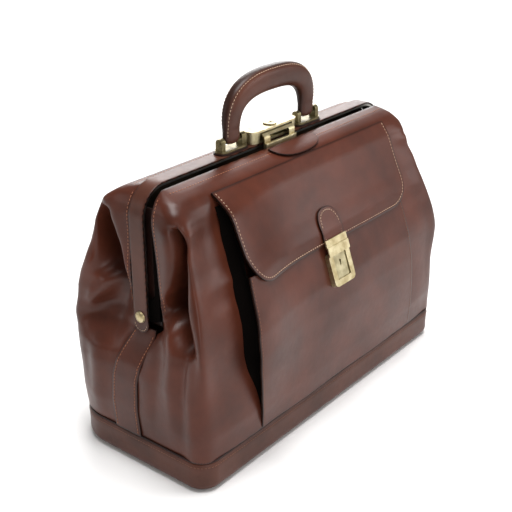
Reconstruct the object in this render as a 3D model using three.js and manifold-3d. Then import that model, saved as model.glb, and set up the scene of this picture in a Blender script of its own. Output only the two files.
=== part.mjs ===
// A leather doctor bag: a stiff base, soft leather walls and a steel frame in two halves
// that swing apart on a rivet at each end. The rear half carries the handle and the lock.
// Millimetres, +Z up, +X along the length, front towards -Y.
// The origin is the middle of the base, on the surface that the bag stands on.

import * as THREE from "three";
import { mergeVertices } from "three/addons/utils/BufferGeometryUtils.js";
import Module from "manifold-3d";

const wasm = await Module();
wasm.setup();

// ---- driving dimensions ----
const GAP = 0.3; // between pieces that touch
const LEATHER = 2.5;
const LINING = 1;
const BASE = { halfLength: 210, halfDepth: 91, corner: 30, height: 32 };
const FRAME = { halfWidth: 192.5, top: 281, corner: 30, strip: 2.2, cover: 1.8 };
const PIVOT_Z = 154;
const FLAP = { halfWidth: 141, top: 268, fold: 243, bottom: 187, corner: 33, thick: 2.2 };
const POCKET = { halfWidth: 141, top: 200, bottom: 35.4 };
const HANDLE = { halfSpan: 60.5, pinZ: 292, armTop: 303, top: 340 };
const BRACKET_X = 60.5; // middle of each handle bracket
const LOCK = { halfLength: 37, halfDepth: 8.5, bottom: 281.3, seam: 291.5, top: 294 };
const TUCK = { x: 0, z: 170, tilt: 19.5, halfWidth: 17.5 };

// ---- finishes ----
const finish = (color, roughness, metalness) => ({ color, roughness, metalness });
const BODY_LEATHER = finish(0x5e3527, 0.45, 0);
const TRIM_LEATHER = finish(0x4a2a20, 0.42, 0);
const EDGE_LEATHER = finish(0x241411, 0.6, 0);
const FABRIC = finish(0x6b5a48, 0.9, 0);
const BOARD = finish(0x8a7355, 0.9, 0);
const STEEL = finish(0x8c8a86, 0.4, 1);
const BRASS = finish(0xcdbb86, 0.35, 1);
const BRONZE = finish(0x7d7458, 0.4, 1);

const bag = new THREE.Group();

function add(name, geometry, look, parent = bag) {
  const mesh = new THREE.Mesh(geometry, new THREE.MeshStandardMaterial(look));
  mesh.name = name;
  parent.add(mesh);
  return mesh;
}

// ---- solids from surfaces, and joins and cuts ----

// Six times the signed volume: negative when the faces point inwards.
function signedVolume(points, faces) {
  return faces.reduce((sum, [i, j, k]) => {
    const cross = points[j].clone().cross(points[k]);
    return sum + points[i].dot(cross);
  }, 0);
}

function fromFaces(points, faces) {
  const outward = signedVolume(points, faces) > 0;
  const corners = faces.flatMap(([i, j, k]) => (outward ? [i, j, k] : [i, k, j]));
  const geometry = new THREE.BufferGeometry().setFromPoints(corners.map((i) => points[i]));
  geometry.computeVertexNormals();
  return geometry;
}

// A wall between two grids of points, grid[row][column]. Its columns run right round when closed.
function wall(outer, inner, closed = false) {
  const rows = outer.length;
  const columns = outer[0].length;
  const points = [...outer.flat(), ...inner.flat()];
  const index = (side, row, column) => (side * rows + row) * columns + (column % columns);
  const faces = [];
  const quad = (a, b, c, d) => faces.push([a, b, c], [a, c, d]);
  const steps = closed ? columns : columns - 1;
  for (let row = 0; row < rows - 1; row++)
    for (let column = 0; column < steps; column++) {
      const face = (side) => [
        index(side, row, column),
        index(side, row, column + 1),
        index(side, row + 1, column + 1),
        index(side, row + 1, column),
      ];
      quad(...face(0));
      quad(...face(1).reverse());
    }
  for (let column = 0; column < steps; column++) {
    const next = column + 1;
    quad(index(1, 0, column), index(1, 0, next), index(0, 0, next), index(0, 0, column));
    const last = rows - 1;
    quad(index(0, last, column), index(0, last, next), index(1, last, next), index(1, last, column));
  }
  if (!closed)
    for (let row = 0; row < rows - 1; row++) {
      const end = columns - 1;
      quad(index(0, row, 0), index(0, row + 1, 0), index(1, row + 1, 0), index(1, row, 0));
      quad(index(1, row, end), index(1, row + 1, end), index(0, row + 1, end), index(0, row, end));
    }
  return fromFaces(points, faces);
}

function toSolid(geometry) {
  const plain = geometry.clone();
  plain.deleteAttribute("normal");
  plain.deleteAttribute("uv");
  const merged = mergeVertices(plain, 1e-4);
  return new wasm.Manifold(
    new wasm.Mesh({
      numProp: 3,
      vertProperties: merged.attributes.position.array,
      triVerts: new Uint32Array(merged.index.array),
    }),
  );
}

function toGeometry(solid) {
  const mesh = solid.getMesh();
  const geometry = new THREE.BufferGeometry();
  geometry.setAttribute("position", new THREE.BufferAttribute(mesh.vertProperties, 3));
  geometry.setIndex(new THREE.BufferAttribute(mesh.triVerts, 1));
  return geometry;
}

const join = (first, ...others) =>
  toGeometry(others.reduce((solid, other) => solid.add(toSolid(other)), toSolid(first)));
const cut = (first, ...others) =>
  toGeometry(others.reduce((solid, other) => solid.subtract(toSolid(other)), toSolid(first)));

// ---- plain shapes, each given by the span that it fills ----

function block([x0, x1], [y0, y1], [z0, z1]) {
  return new THREE.BoxGeometry(x1 - x0, y1 - y0, z1 - z0).translate(
    (x0 + x1) / 2,
    (y0 + y1) / 2,
    (z0 + z1) / 2,
  );
}

// A cylinder along X, from x0 to x1, at height z on the middle plane.
const rodX = (x0, x1, y, z, radius, sides = 16) =>
  new THREE.CylinderGeometry(radius, radius, x1 - x0, sides)
    .rotateZ(Math.PI / 2)
    .translate((x0 + x1) / 2, y, z);

const rodZ = (x, y, z0, z1, radius, sides = 24) =>
  new THREE.CylinderGeometry(radius, radius, z1 - z0, sides)
    .rotateX(Math.PI / 2)
    .translate(x, y, (z0 + z1) / 2);

function extrude(shape, depth, curveSegments = 6) {
  return new THREE.ExtrudeGeometry(shape, { depth, bevelEnabled: false, curveSegments });
}

function roundedRect(halfX, halfY, radius) {
  const shape = new THREE.Shape();
  shape.absarc(halfX - radius, halfY - radius, radius, 0, Math.PI / 2);
  shape.absarc(-halfX + radius, halfY - radius, radius, Math.PI / 2, Math.PI);
  shape.absarc(-halfX + radius, -halfY + radius, radius, Math.PI, Math.PI * 1.5);
  shape.absarc(halfX - radius, -halfY + radius, radius, Math.PI * 1.5, Math.PI * 2);
  return shape;
}

// A round-cornered plate lying flat, between two heights.
const plate = (x, halfX, halfY, radius, [z0, z1], segments = 6) =>
  extrude(roundedRect(halfX, halfY, radius), z1 - z0, segments).translate(x, 0, z0);

// A strip bent round the frame's arch: two arms and a round-cornered top, between two depths.
function archStrip(halfWidth, top, corner, thick, bottom, [y0, y1]) {
  const shape = new THREE.Shape();
  const rim = (half, high, radius, reverse) => {
    const [from, to] = reverse ? [half, -half] : [-half, half];
    const side = Math.sign(from);
    const turn = reverse ? [0, Math.PI / 2] : [Math.PI, Math.PI / 2];
    shape.lineTo(from, bottom);
    shape.absarc(side * (half - radius), high - radius, radius, ...turn, !reverse);
    const turnBack = reverse ? [Math.PI / 2, Math.PI] : [Math.PI / 2, 0];
    shape.absarc(-side * (half - radius), high - radius, radius, ...turnBack, !reverse);
    shape.lineTo(to, bottom);
  };
  shape.moveTo(-halfWidth, bottom);
  rim(halfWidth, top, corner, false);
  rim(halfWidth - thick, top - thick, corner - thick, true);
  return extrude(shape, y1 - y0, 8).rotateX(Math.PI / 2).translate(0, y1, 0);
}

// ---- plan outlines of the walls ----

const CORNER_STEPS = 5;

// Half an outline, from one end round the front (side -1) or the rear (side 1) to the other end.
function halfOutline(z, halfLength, halfDepth, corner, side, firstX, firstY) {
  const points = [new THREE.Vector3(-firstX, side * firstY, z)];
  for (let step = 0; step <= CORNER_STEPS; step++) {
    const angle = (step / CORNER_STEPS) * (Math.PI / 2);
    const x = halfLength - corner + corner * Math.cos(angle);
    const y = halfDepth - corner + corner * Math.sin(angle);
    points.push(new THREE.Vector3(-x, side * y, z));
  }
  for (const share of [-0.5, 0])
    points.push(new THREE.Vector3(share * (halfLength - corner), side * halfDepth, z));
  const mirrored = points.slice(0, -1).reverse();
  return [...points, ...mirrored.map((p) => new THREE.Vector3(-p.x, p.y, p.z))];
}

// A closed ring: the front half and the rear half of one outline.
function ringOutline(z, halfLength, depths, corner, inset = 0) {
  const half = (side, depth) =>
    halfOutline(
      z,
      halfLength - inset,
      depth - inset,
      corner - inset,
      side,
      halfLength - inset,
      0.5,
    );
  return [...half(-1, depths[0]), ...half(1, depths[1]).reverse()];
}

// ---- base ----

const baseInner = { x: BASE.halfLength - LEATHER, y: BASE.halfDepth - LEATHER };
const baseDepths = [BASE.halfDepth, BASE.halfDepth];
const baseBand = (inset) =>
  [0, BASE.height].map((z) => ringOutline(z, BASE.halfLength, baseDepths, BASE.corner, inset));
add("base_band", wall(baseBand(0), baseBand(LEATHER), true), TRIM_LEATHER);

const bottomCorner = BASE.corner - LEATHER - GAP;
const bottomHalf = [baseInner.x - 2 * GAP, baseInner.y - 2 * GAP];
add("bottom_panel", plate(0, ...bottomHalf, bottomCorner - GAP, [0, LEATHER]), TRIM_LEATHER);

const BOARD_THICK = 3;
const boardInset = LEATHER + LINING + 4 * GAP;
const boardHalf = [baseInner.x - boardInset, baseInner.y - boardInset];
const boardSpan = [LEATHER + GAP, LEATHER + GAP + BOARD_THICK];
add("base_board", plate(0, ...boardHalf, BASE.corner - 2 * LEATHER, boardSpan), BOARD);

// The dark piping that lies in the seam between the band and the walls.
const PIPING = 1.2;
function pipingRing() {
  const centre = ringOutline(
    BASE.height + GAP + PIPING,
    BASE.halfLength - PIPING,
    baseDepths.map((depth) => depth - PIPING),
    BASE.corner,
  );
  const rings = [];
  const SIDES = 6;
  for (let step = 0; step < SIDES; step++) {
    const angle = (step / SIDES) * Math.PI * 2;
    rings.push(
      centre.map((p, i) => {
        const before = centre.at(i - 1);
        const after = centre[(i + 1) % centre.length];
        const out = new THREE.Vector3(after.y - before.y, before.x - after.x, 0).normalize();
        const reach = PIPING * Math.cos(angle);
        return p.clone().addScaledVector(out, reach).setZ(p.z + PIPING * Math.sin(angle));
      }),
    );
  }
  const points = rings.flat();
  const count = centre.length;
  const faces = [];
  for (let ring = 0; ring < SIDES; ring++)
    for (let i = 0; i < count; i++) {
      const at = (r, k) => (r % SIDES) * count + (k % count);
      faces.push([at(ring, i), at(ring, i + 1), at(ring + 1, i + 1)]);
      faces.push([at(ring, i), at(ring + 1, i + 1), at(ring + 1, i)]);
    }
  return fromFaces(points, faces);
}
add("base_piping", pipingRing(), EDGE_LEATHER);

// ---- lower walls: height, half length, half depth in front and behind, corner radius ----

const LOWER_LEVELS = [
  [LEATHER + GAP, 207, 88, 88, 27.5],
  [60, 207, 88, 88.2, 29],
  [100, 206.6, 86.5, 90, 32],
  [149.5, 206, 84.5, 88, 35],
];
const WALL_END = 1; // half of the gap between the two halves, under the end straps

for (const [name, side, column] of [
  ["front_panel_lower", -1, 2],
  ["rear_panel_lower", 1, 3],
]) {
  const skin = (inset) =>
    LOWER_LEVELS.map((level) => {
      const [z, length] = level;
      const half = [length - inset, level[column] - inset, level[4] - inset];
      return halfOutline(z, ...half, side, length - inset, WALL_END);
    });
  add(name, wall(skin(0), skin(LEATHER)), BODY_LEATHER);
}

const LINING_TOP = 135;
const liningSkin = (inset) =>
  [
    [boardSpan[1] + GAP, 206.9, 87.9, 88],
    [60, 206.9, 87.9, 88],
    [LINING_TOP, 206, 84.8, 88.2],
  ].map(([z, length, front, rear]) => ringOutline(z, length, [front, rear], 33, inset));
const liningInset = LEATHER + GAP;
const liningWall = wall(liningSkin(liningInset), liningSkin(liningInset + LINING), true);
add("lining_lower", liningWall, FABRIC);

// A strap covers the seam at each end and turns under the base band.
const STRAP = { halfWidth: 16, top: 146, thick: 2 };
function endStrap(side) {
  const low = BASE.halfLength + GAP;
  const high = LOWER_LEVELS[0][1] + GAP;
  const step = BASE.height + 2 * PIPING + 2 * GAP;
  const shape = new THREE.Shape();
  shape.moveTo(low, 0);
  shape.lineTo(low + STRAP.thick, 0);
  shape.lineTo(low + STRAP.thick, step + 1);
  shape.lineTo(high + STRAP.thick, step + 4);
  shape.lineTo(high + STRAP.thick, STRAP.top);
  shape.lineTo(high, STRAP.top);
  shape.lineTo(high, step + 2);
  shape.lineTo(low, step);
  const strip = extrude(shape, 2 * STRAP.halfWidth).rotateX(Math.PI / 2);
  strip.translate(0, STRAP.halfWidth, 0);
  return side > 0 ? strip : strip.rotateZ(Math.PI);
}
add("end_strap_left", endStrap(-1), TRIM_LEATHER);
add("end_strap_right", endStrap(1), TRIM_LEATHER);

// ---- upper walls: each hangs on its frame half and swings inside the lower walls ----

// Height, half length, half depth in front and behind, corner radius, and how far the skin
// there is a shoulder (1) rather than a wall (0).
const UPPER_LEVELS = [
  [151, 201.5, 81.3, 84.3, 30, 0],
  [165, 201, 79.8, 82.5, 29, 0],
  [180, 200, 75, 76.5, 28, 0],
  [200, 198, 67, 67.5, 26, 0],
  [217, 196, 59, 59, 23, 0],
  [236, 193.5, 51.5, 50, 18, 0.1],
  [255, 191.3, 46.5, 43, 12, 0.2],
  [262, 190, 43.5, 38, 9, 0.4],
  [270, 184.5, 38, 26, 6, 0.8],
  [277, 173, 15.2, 10.6, 0.6, 1],
];
const FRAME_ARC = { x: FRAME.halfWidth - FRAME.corner, z: FRAME.top - FRAME.corner };
const EDGE_RADIUS = 27.9;

// Where the leather's edge lies along the frame's arch, at a height.
function edgeX(z) {
  const rise = Math.max(0, z - FRAME_ARC.z);
  return FRAME_ARC.x + Math.sqrt(EDGE_RADIUS ** 2 - rise ** 2);
}

function upperSkin(levels, side, column, edgeY, inset) {
  return levels.map((level) => {
    const [z, length] = level;
    const shoulder = level[5];
    const sideways = inset * (1 - shoulder);
    const corner = Math.max(level[4] - inset, 0.3);
    const depth = Math.max(level[column] - sideways, edgeY + corner + 0.1);
    const half = [length - inset, depth, corner];
    return halfOutline(z - inset * shoulder, ...half, side, edgeX(z) - inset, edgeY);
  });
}

const FRONT_EDGE_Y = 14.3;
const REAR_EDGE_Y = 9.3;
const upperWall = (side, column, edgeY) =>
  wall(
    upperSkin(UPPER_LEVELS, side, column, edgeY, 0),
    upperSkin(UPPER_LEVELS, side, column, edgeY, LEATHER),
  );
add("front_panel_upper", upperWall(-1, 2, FRONT_EDGE_Y), BODY_LEATHER);
add("rear_panel_upper", upperWall(1, 3, REAR_EDGE_Y), BODY_LEATHER);

const LINING_EDGE_Y = 24; // clear of the frame's strips
const upperLining = (side, column) => {
  const levels = UPPER_LEVELS.slice(0, 7);
  const outer = LEATHER + GAP + 0.2;
  return wall(
    upperSkin(levels, side, column, LINING_EDGE_Y, outer),
    upperSkin(levels, side, column, LINING_EDGE_Y, outer + LINING),
  );
};
add("front_lining_upper", upperLining(-1, 2), FABRIC);
add("rear_lining_upper", upperLining(1, 3), FABRIC);

// ---- frame: two steel arches, a leather cover and the rivets that they turn on ----

const RIVET = { shank: 2.5, hole: 3, head: 6 };
const rearTop = FRAME.top - FRAME.cover - GAP;
const rearHalf = FRAME.halfWidth - FRAME.cover - GAP;

// A disc round each pivot, which rounds off the arm's lower end.
const pivotDiscs = (outerX, thick, radius) =>
  [-1, 1].map((side) => {
    const [x0, x1] = [side * outerX, side * (outerX - thick)].sort((a, b) => a - b);
    return rodX(x0, x1, 0, PIVOT_Z, radius, 24);
  });
const pivotHoles = [-1, 1].map((side) =>
  rodX(side * 190 - 12, side * 190 + 12, 0, PIVOT_Z, RIVET.hole),
);

const REAR_STRIP = 7.5; // half of the strip's depth
const rearArch = archStrip(rearHalf, rearTop, EDGE_RADIUS, FRAME.strip, PIVOT_Z, [
  -REAR_STRIP,
  REAR_STRIP,
]);
const rearBar = join(rearArch, ...pivotDiscs(rearHalf, FRAME.strip, REAR_STRIP));
add("rear_frame_bar", cut(rearBar, ...pivotHoles), STEEL);

const COVER_HALF = 8.5;
const coverArch = archStrip(
  FRAME.halfWidth,
  FRAME.top,
  FRAME.corner,
  FRAME.cover,
  PIVOT_Z,
  [-COVER_HALF, COVER_HALF],
);
const TAB_RADIUS = 9.5;
const cover = join(coverArch, ...pivotDiscs(FRAME.halfWidth, FRAME.cover, TAB_RADIUS));
add("frame_band", cut(cover, ...pivotHoles), TRIM_LEATHER);

// The front arch is smaller. A lug on each arm reaches back to the rivet.
const FRONT_BAR = { halfWidth: 187.4, top: 269.8, corner: 25, y0: -20.5, y1: -15 };
function pivotLug(side) {
  const shape = new THREE.Shape();
  shape.moveTo(FRONT_BAR.y0, 178);
  shape.lineTo(FRONT_BAR.y0, PIVOT_Z - 1);
  shape.absarc(0, PIVOT_Z, REAR_STRIP, Math.PI * 1.3, Math.PI * 2.4);
  shape.lineTo(FRONT_BAR.y1, 178);
  const lug = extrude(shape, FRAME.strip, 8).rotateX(Math.PI / 2).rotateZ(Math.PI / 2);
  const inner = side > 0 ? FRONT_BAR.halfWidth - FRAME.strip : -FRONT_BAR.halfWidth;
  return lug.translate(inner, 0, 0);
}
const frontArch = archStrip(
  FRONT_BAR.halfWidth,
  FRONT_BAR.top,
  FRONT_BAR.corner,
  FRAME.strip,
  PIVOT_Z,
  [FRONT_BAR.y0, FRONT_BAR.y1],
);
add("front_frame_bar", cut(join(frontArch, pivotLug(-1), pivotLug(1)), ...pivotHoles), STEEL);

// Turned pieces on the pivot's axis: distance from the middle plane, radius.
function turnedX(profile, side, sides = 20) {
  const points = profile.map(([x, radius]) => new THREE.Vector2(radius, x));
  const turned = new THREE.LatheGeometry(points, sides).rotateZ(-Math.PI / 2);
  return (side > 0 ? turned : turned.rotateZ(Math.PI)).translate(0, 0, PIVOT_Z);
}
const headFoot = FRAME.halfWidth + GAP;
const frontInner = FRONT_BAR.halfWidth - FRAME.strip;
const washerSpan = [frontInner - 3 * GAP, frontInner - GAP];
const RIVET_PROFILE = [
  [washerSpan[0] - 1.6, 0],
  [washerSpan[0] - 1.6, 4.5],
  [washerSpan[0] - GAP, 4.5],
  [washerSpan[0] - GAP, RIVET.shank],
  [headFoot, RIVET.shank],
  [headFoot, RIVET.head],
  [headFoot + 1.3, 5.2],
  [headFoot + 2.3, 3],
  [headFoot + 2.6, 0],
];
const WASHER_PROFILE = [
  [washerSpan[0], RIVET.hole],
  [washerSpan[0], 5.5],
  [washerSpan[1], 5.5],
  [washerSpan[1], RIVET.hole],
  [washerSpan[0], RIVET.hole],
];
for (const [word, side] of [
  ["left", -1],
  ["right", 1],
]) {
  add(`pivot_rivet_${word}`, turnedX(RIVET_PROFILE, side), BRASS);
  add(`pivot_washer_${word}`, turnedX(WASHER_PROFILE, side), STEEL);
}

// ---- handle: brackets, pins and a leather grip ----

const PAD = [FRAME.top + GAP, FRAME.top + 1.6];
const FOOT = [PAD[1] + GAP, PAD[1] + GAP + 2];
const POST = { offset: 15.25, halfX: 2.75, halfY: 4, top: 296.5 };

function bracket(x) {
  const posts = [-1, 1].flatMap((side) => {
    const middle = x + side * POST.offset;
    const span = [middle - POST.halfX, middle + POST.halfX];
    const round = POST.top - POST.halfY;
    return [
      block(span, [-POST.halfY, POST.halfY], [FOOT[0] + 0.5, round]),
      rodX(...span, 0, round, POST.halfY, 20),
    ];
  });
  const foot = plate(x, 20, 7, 6.5, FOOT, 5);
  const body = join(foot, ...posts);
  const reach = POST.offset + POST.halfX + 1;
  return cut(body, rodX(x - reach, x + reach, 0, HANDLE.pinZ, 2.3));
}

// Cross-sections of the grip: round-cornered ovals carried along a round-shouldered arch.
const ARCH_POWER = 2 / 2.7;
const GRIP_END_Z = 288;
function gripPath() {
  const path = [
    { x: -HANDLE.halfSpan, z: GRIP_END_Z, thick: 10.6, half: 4.6 },
    { x: -HANDLE.halfSpan, z: GRIP_END_Z + 7, thick: 11.2, half: 5.4 },
  ];
  const STEPS = 20;
  for (let step = 0; step <= STEPS; step++) {
    const angle = Math.PI * (1 - step / STEPS);
    const lean = Math.cos(angle);
    const x = HANDLE.halfSpan * Math.sign(lean) * Math.abs(lean) ** ARCH_POWER;
    const rise = Math.abs(Math.sin(angle)) ** ARCH_POWER;
    const z = HANDLE.armTop + (HANDLE.top - HANDLE.armTop) * rise;
    path.push({ x, z, thick: 11.8 + 1.2 * rise, half: 7 + 3 * rise });
  }
  const [end, next] = path;
  return [...path, { ...next, x: -next.x }, { ...end, x: -end.x }];
}

function grip() {
  const path = gripPath();
  const SIDES = 14;
  const points = [];
  path.forEach((station, i) => {
    const before = path[Math.max(i - 1, 0)];
    const after = path[Math.min(i + 1, path.length - 1)];
    const along = new THREE.Vector2(after.x - before.x, after.z - before.z).normalize();
    for (let step = 0; step < SIDES; step++) {
      const angle = (step / SIDES) * Math.PI * 2;
      const out = station.thick * Math.cos(angle);
      const x = station.x - along.y * out;
      const z = station.z + along.x * out;
      points.push(new THREE.Vector3(x, station.half * Math.sin(angle), z));
    }
  });
  const faces = [];
  const at = (i, step) => i * SIDES + (step % SIDES);
  for (let i = 0; i < path.length - 1; i++)
    for (let step = 0; step < SIDES; step++) {
      faces.push([at(i, step), at(i + 1, step), at(i + 1, step + 1)]);
      faces.push([at(i, step), at(i + 1, step + 1), at(i, step + 1)]);
    }
  const last = path.length - 1;
  for (let step = 1; step < SIDES - 1; step++) {
    faces.push([at(0, 0), at(0, step), at(0, step + 1)]);
    faces.push([at(last, 0), at(last, step + 1), at(last, step)]);
  }
  const pinHoles = [-1, 1].map((side) => {
    const x = side * HANDLE.halfSpan;
    return rodX(x - 20, x + 20, 0, HANDLE.pinZ, 2.4);
  });
  return cut(fromFaces(points, faces), ...pinHoles);
}

for (const [word, side] of [
  ["left", -1],
  ["right", 1],
]) {
  const x = side * BRACKET_X;
  const reach = POST.offset + POST.halfX;
  add(`bracket_pad_${word}`, plate(x, 21, 8, 7, PAD, 5), TRIM_LEATHER);
  add(`handle_bracket_${word}`, bracket(x), BRONZE);
  add(`handle_pin_${word}`, rodX(x - reach, x + reach, 0, HANDLE.pinZ, 1.9, 14), BRONZE);
}
add("handle_grip", grip(), TRIM_LEATHER);

// ---- frame lock: a case on the rear half, and a hasp on the front half that hooks into it ----

const lockPlate = (grow, span) =>
  plate(0, LOCK.halfLength + grow, LOCK.halfDepth + grow, LOCK.halfDepth + grow - 0.1, span, 7);
const SLOT_HALF = 26;
const BARREL = 4;
const cavity = block([-28, 28], [-6.5, 6.5], [283.5, LOCK.seam + 1]);
const slot = block([-SLOT_HALF, SLOT_HALF], [-12, -4], [283.5, LOCK.seam + 1]);
add("lock_case", cut(lockPlate(0, [LOCK.bottom, LOCK.seam]), cavity, slot), BRASS);

const barrelHole = rodZ(0, 0, LOCK.seam - 1, LOCK.top + 2, BARREL + GAP + 0.1);
const lid = lockPlate(0.4, [LOCK.seam + GAP, LOCK.top]);
add("lock_lid", cut(lid, barrelHole), BRASS);

const ring = (inner, outer, z0, z1) =>
  cut(rodZ(0, 0, z0, z1, outer), rodZ(0, 0, z0 - 1, z1 + 1, inner));
const escutcheonSpan = [LOCK.top + GAP, LOCK.top + GAP + 1.1];
add("lock_escutcheon", ring(BARREL + 0.4, 7, ...escutcheonSpan), BRASS);

const KEYWAY_TOP = escutcheonSpan[1] - 0.2;
const keyway = block([-2.2, 2.2], [-0.7, 0.7], [KEYWAY_TOP - 3, KEYWAY_TOP + 1]);
const keyRound = rodZ(1.4, 0, KEYWAY_TOP - 3, KEYWAY_TOP + 1, 1.3, 12);
const barrel = rodZ(0, 0, 284.2, KEYWAY_TOP, BARREL);
add("lock_barrel", cut(barrel, keyway, keyRound), BRASS);

// The bolt slides along X, through the eye in the hasp's tongue.
const EYE = { x0: 17, x1: 19, y: -5, z: 286.3, half: 1.6 };
const BOLT_HALF = 1;
const boltSpan = [EYE.y - BOLT_HALF, EYE.y + BOLT_HALF];
add("lock_bolt", block([6, 16], boltSpan, [EYE.z - BOLT_HALF, EYE.z + BOLT_HALF]), STEEL);

// The hasp: out of the slot, over the gap and down to the front arch.
const HASP = { halfWidth: 24.5, thick: 1.2, top: 290.5, backY: -4.6, frontY: -13.3, bottom: 262 };
function hasp() {
  const bend = 6;
  const shape = new THREE.Shape();
  const centre = [HASP.frontY + bend, HASP.top - bend];
  const inner = bend - HASP.thick;
  shape.moveTo(HASP.backY, HASP.top);
  shape.absarc(...centre, bend, Math.PI / 2, Math.PI);
  shape.lineTo(HASP.frontY, HASP.bottom);
  shape.lineTo(HASP.frontY + HASP.thick, HASP.bottom);
  shape.absarc(...centre, inner, Math.PI, Math.PI / 2, true);
  shape.lineTo(HASP.backY, HASP.top - HASP.thick);
  const sheet = extrude(shape, 2 * HASP.halfWidth, 6)
    .rotateX(Math.PI / 2)
    .rotateZ(Math.PI / 2)
    .translate(-HASP.halfWidth, 0, 0);
  const window = block([-15.5, 15.5], [-20, -9], [277, 288.2]);
  const under = block([-15.5, 15.5], [-20, -11.5], [273, 280]);
  const tongue = block([EYE.x0, EYE.x1], [EYE.y - 2.8, EYE.y + 2.4], [284.1, HASP.top - 0.5]);
  const eye = block([EYE.x0 - 1, EYE.x1 + 1], [EYE.y - EYE.half, EYE.y + EYE.half], [
    EYE.z - EYE.half,
    EYE.z + EYE.half,
  ]);
  return cut(join(cut(sheet, window, under), tongue), eye);
}
add("hasp", hasp(), BRASS);

// ---- sheets that lie on the front: half depth of the skin at each height ----

// The skin's place at a height, straight between the levels either side of it.
function between(levels, z) {
  const i = levels.findIndex(([height], k) => k + 1 === levels.length - 1 || z <= levels[k + 1][0]);
  const [z0, y0] = levels[i];
  const [z1, y1] = levels[i + 1];
  return THREE.MathUtils.mapLinear(z, z0, z1, y0, y1);
}

const POCKET_FACE = [
  [POCKET.bottom, 91.2],
  [60, 93.6],
  [100, 95.3],
  [125, 94.9],
  [150, 92],
  [191, 77.5],
  [POCKET.top, 74.5],
];
const SLOPE = Math.cos(THREE.MathUtils.degToRad(TUCK.tilt));
const FLAP_BACK = [
  [FLAP.bottom, between(POCKET_FACE, FLAP.bottom) + GAP / SLOPE + 0.1],
  [200, 75.8],
  [217, 66],
  [236, 57],
  [255, 49],
  [FLAP.top, 45],
];

// A sheet that follows a face: columns across, and rows from its top to its lower edge.
function sheet(levels, thick, halfWidth, topZ, bottomZ, columns, rows) {
  const grid = (offset) =>
    rows.map((share) =>
      columns.map((x) => {
        const z = THREE.MathUtils.lerp(topZ(x), bottomZ(x), share);
        return new THREE.Vector3(x * halfWidth, -between(levels, z) - offset, z);
      }),
    );
  return wall(grid(thick), grid(0));
}

const PULL_TAB = { x: 8, half: 36, top: 276, drop: 5 };
const SHOULDER = [
  [262, 44.5],
  [270, 39],
  [277, 16.2],
];
const tabColumns = [-1, -0.9, -0.7, -0.4, 0, 0.4, 0.7, 0.9, 1];
const pullTab = sheet(
  SHOULDER,
  3 * LEATHER,
  PULL_TAB.half,
  () => PULL_TAB.top,
  (x) => PULL_TAB.top - 0.5 - PULL_TAB.drop * Math.sqrt(1 - x * x * 0.98),
  tabColumns,
  [0, 0.3, 0.6, 1],
).translate(PULL_TAB.x, 0, 0.4);
add("pull_tab", pullTab, TRIM_LEATHER);

// ---- front pocket: a panel with folded sides ----

const pocketRows = POCKET_FACE.map(([z]) => (POCKET.top - z) / (POCKET.top - POCKET.bottom));
const pocketPanel = sheet(
  POCKET_FACE.map(([z, y]) => [z, y - LEATHER]),
  LEATHER,
  POCKET.halfWidth,
  () => POCKET.top,
  () => POCKET.bottom,
  [-1, 1],
  pocketRows.reverse(),
);
add("pocket_panel", pocketPanel, BODY_LEATHER);

const GUSSET = 1.5;
const WALL_FACE = LOWER_LEVELS.concat(UPPER_LEVELS).map(([z, , front]) => [z, front]);
function pocketGusset(x) {
  const heights = [62, 100, 149, 165, 180, 190];
  const edge = (sideX) =>
    heights.map((z) => [
      new THREE.Vector3(sideX, -between(WALL_FACE, z) - GAP - 0.6, z),
      new THREE.Vector3(sideX, -between(POCKET_FACE, z) + LEATHER + GAP, z),
    ]);
  return wall(edge(x), edge(x + GUSSET));
}
const gussetX = POCKET.halfWidth - 3;
add("pocket_gusset_left", pocketGusset(-gussetX - GUSSET), EDGE_LEATHER);
add("pocket_gusset_right", pocketGusset(gussetX), EDGE_LEATHER);

// ---- flap: the strip that is sewn on, the part that lifts, and its tongue strap ----

const CORNER_X = FLAP.halfWidth - FLAP.corner;
function flapEdge(share) {
  const beyond = Math.max(0, Math.abs(share) * FLAP.halfWidth - CORNER_X);
  return FLAP.bottom + FLAP.corner - Math.sqrt(FLAP.corner ** 2 - beyond ** 2);
}
const cornerColumns = [1, 0.99, 0.97, 0.93, 0.88, CORNER_X / FLAP.halfWidth];
const flapColumns = [...cornerColumns.map((c) => -c), ...cornerColumns.reverse()];
const FLAP_THICK_Y = FLAP.thick / SLOPE;
const foldStrip = sheet(
  FLAP_BACK,
  FLAP_THICK_Y,
  FLAP.halfWidth,
  () => FLAP.top,
  () => FLAP.fold + GAP,
  [-1, 1],
  [0, 0.53, 1],
);
add("flap_fold", foldStrip, BODY_LEATHER);

const flapRows = [0, 0.12, 0.3, 0.46, 0.62, 0.77, 0.9, 1];
const flapSheet = sheet(
  FLAP_BACK,
  FLAP_THICK_Y,
  FLAP.halfWidth,
  () => FLAP.fold - GAP,
  flapEdge,
  flapColumns,
  flapRows,
);
add("pocket_flap", flapSheet, BODY_LEATHER);

const STRAP_FACE = FLAP_BACK.map(([z, y]) => [z, y + FLAP_THICK_Y + 2 * GAP]);
const TONGUE = { halfWidth: 17, top: 221, round: 15, bottom: 191, thick: 1.4 };
const tongueStrap = sheet(
  STRAP_FACE,
  TONGUE.thick,
  TONGUE.halfWidth,
  (x) => TONGUE.top - TONGUE.round * (1 - Math.sqrt(Math.max(0, 1 - x * x))),
  () => TONGUE.bottom,
  [-1, -0.92, -0.7, -0.4, 0, 0.4, 0.7, 0.92, 1],
  [0, 0.25, 0.5, 0.75, 1],
);
add("flap_strap", tongueStrap, TRIM_LEATHER);

// ---- tuck lock: built flat, facing +Z with +Y up the slope, then laid on the pocket's face ----

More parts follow.
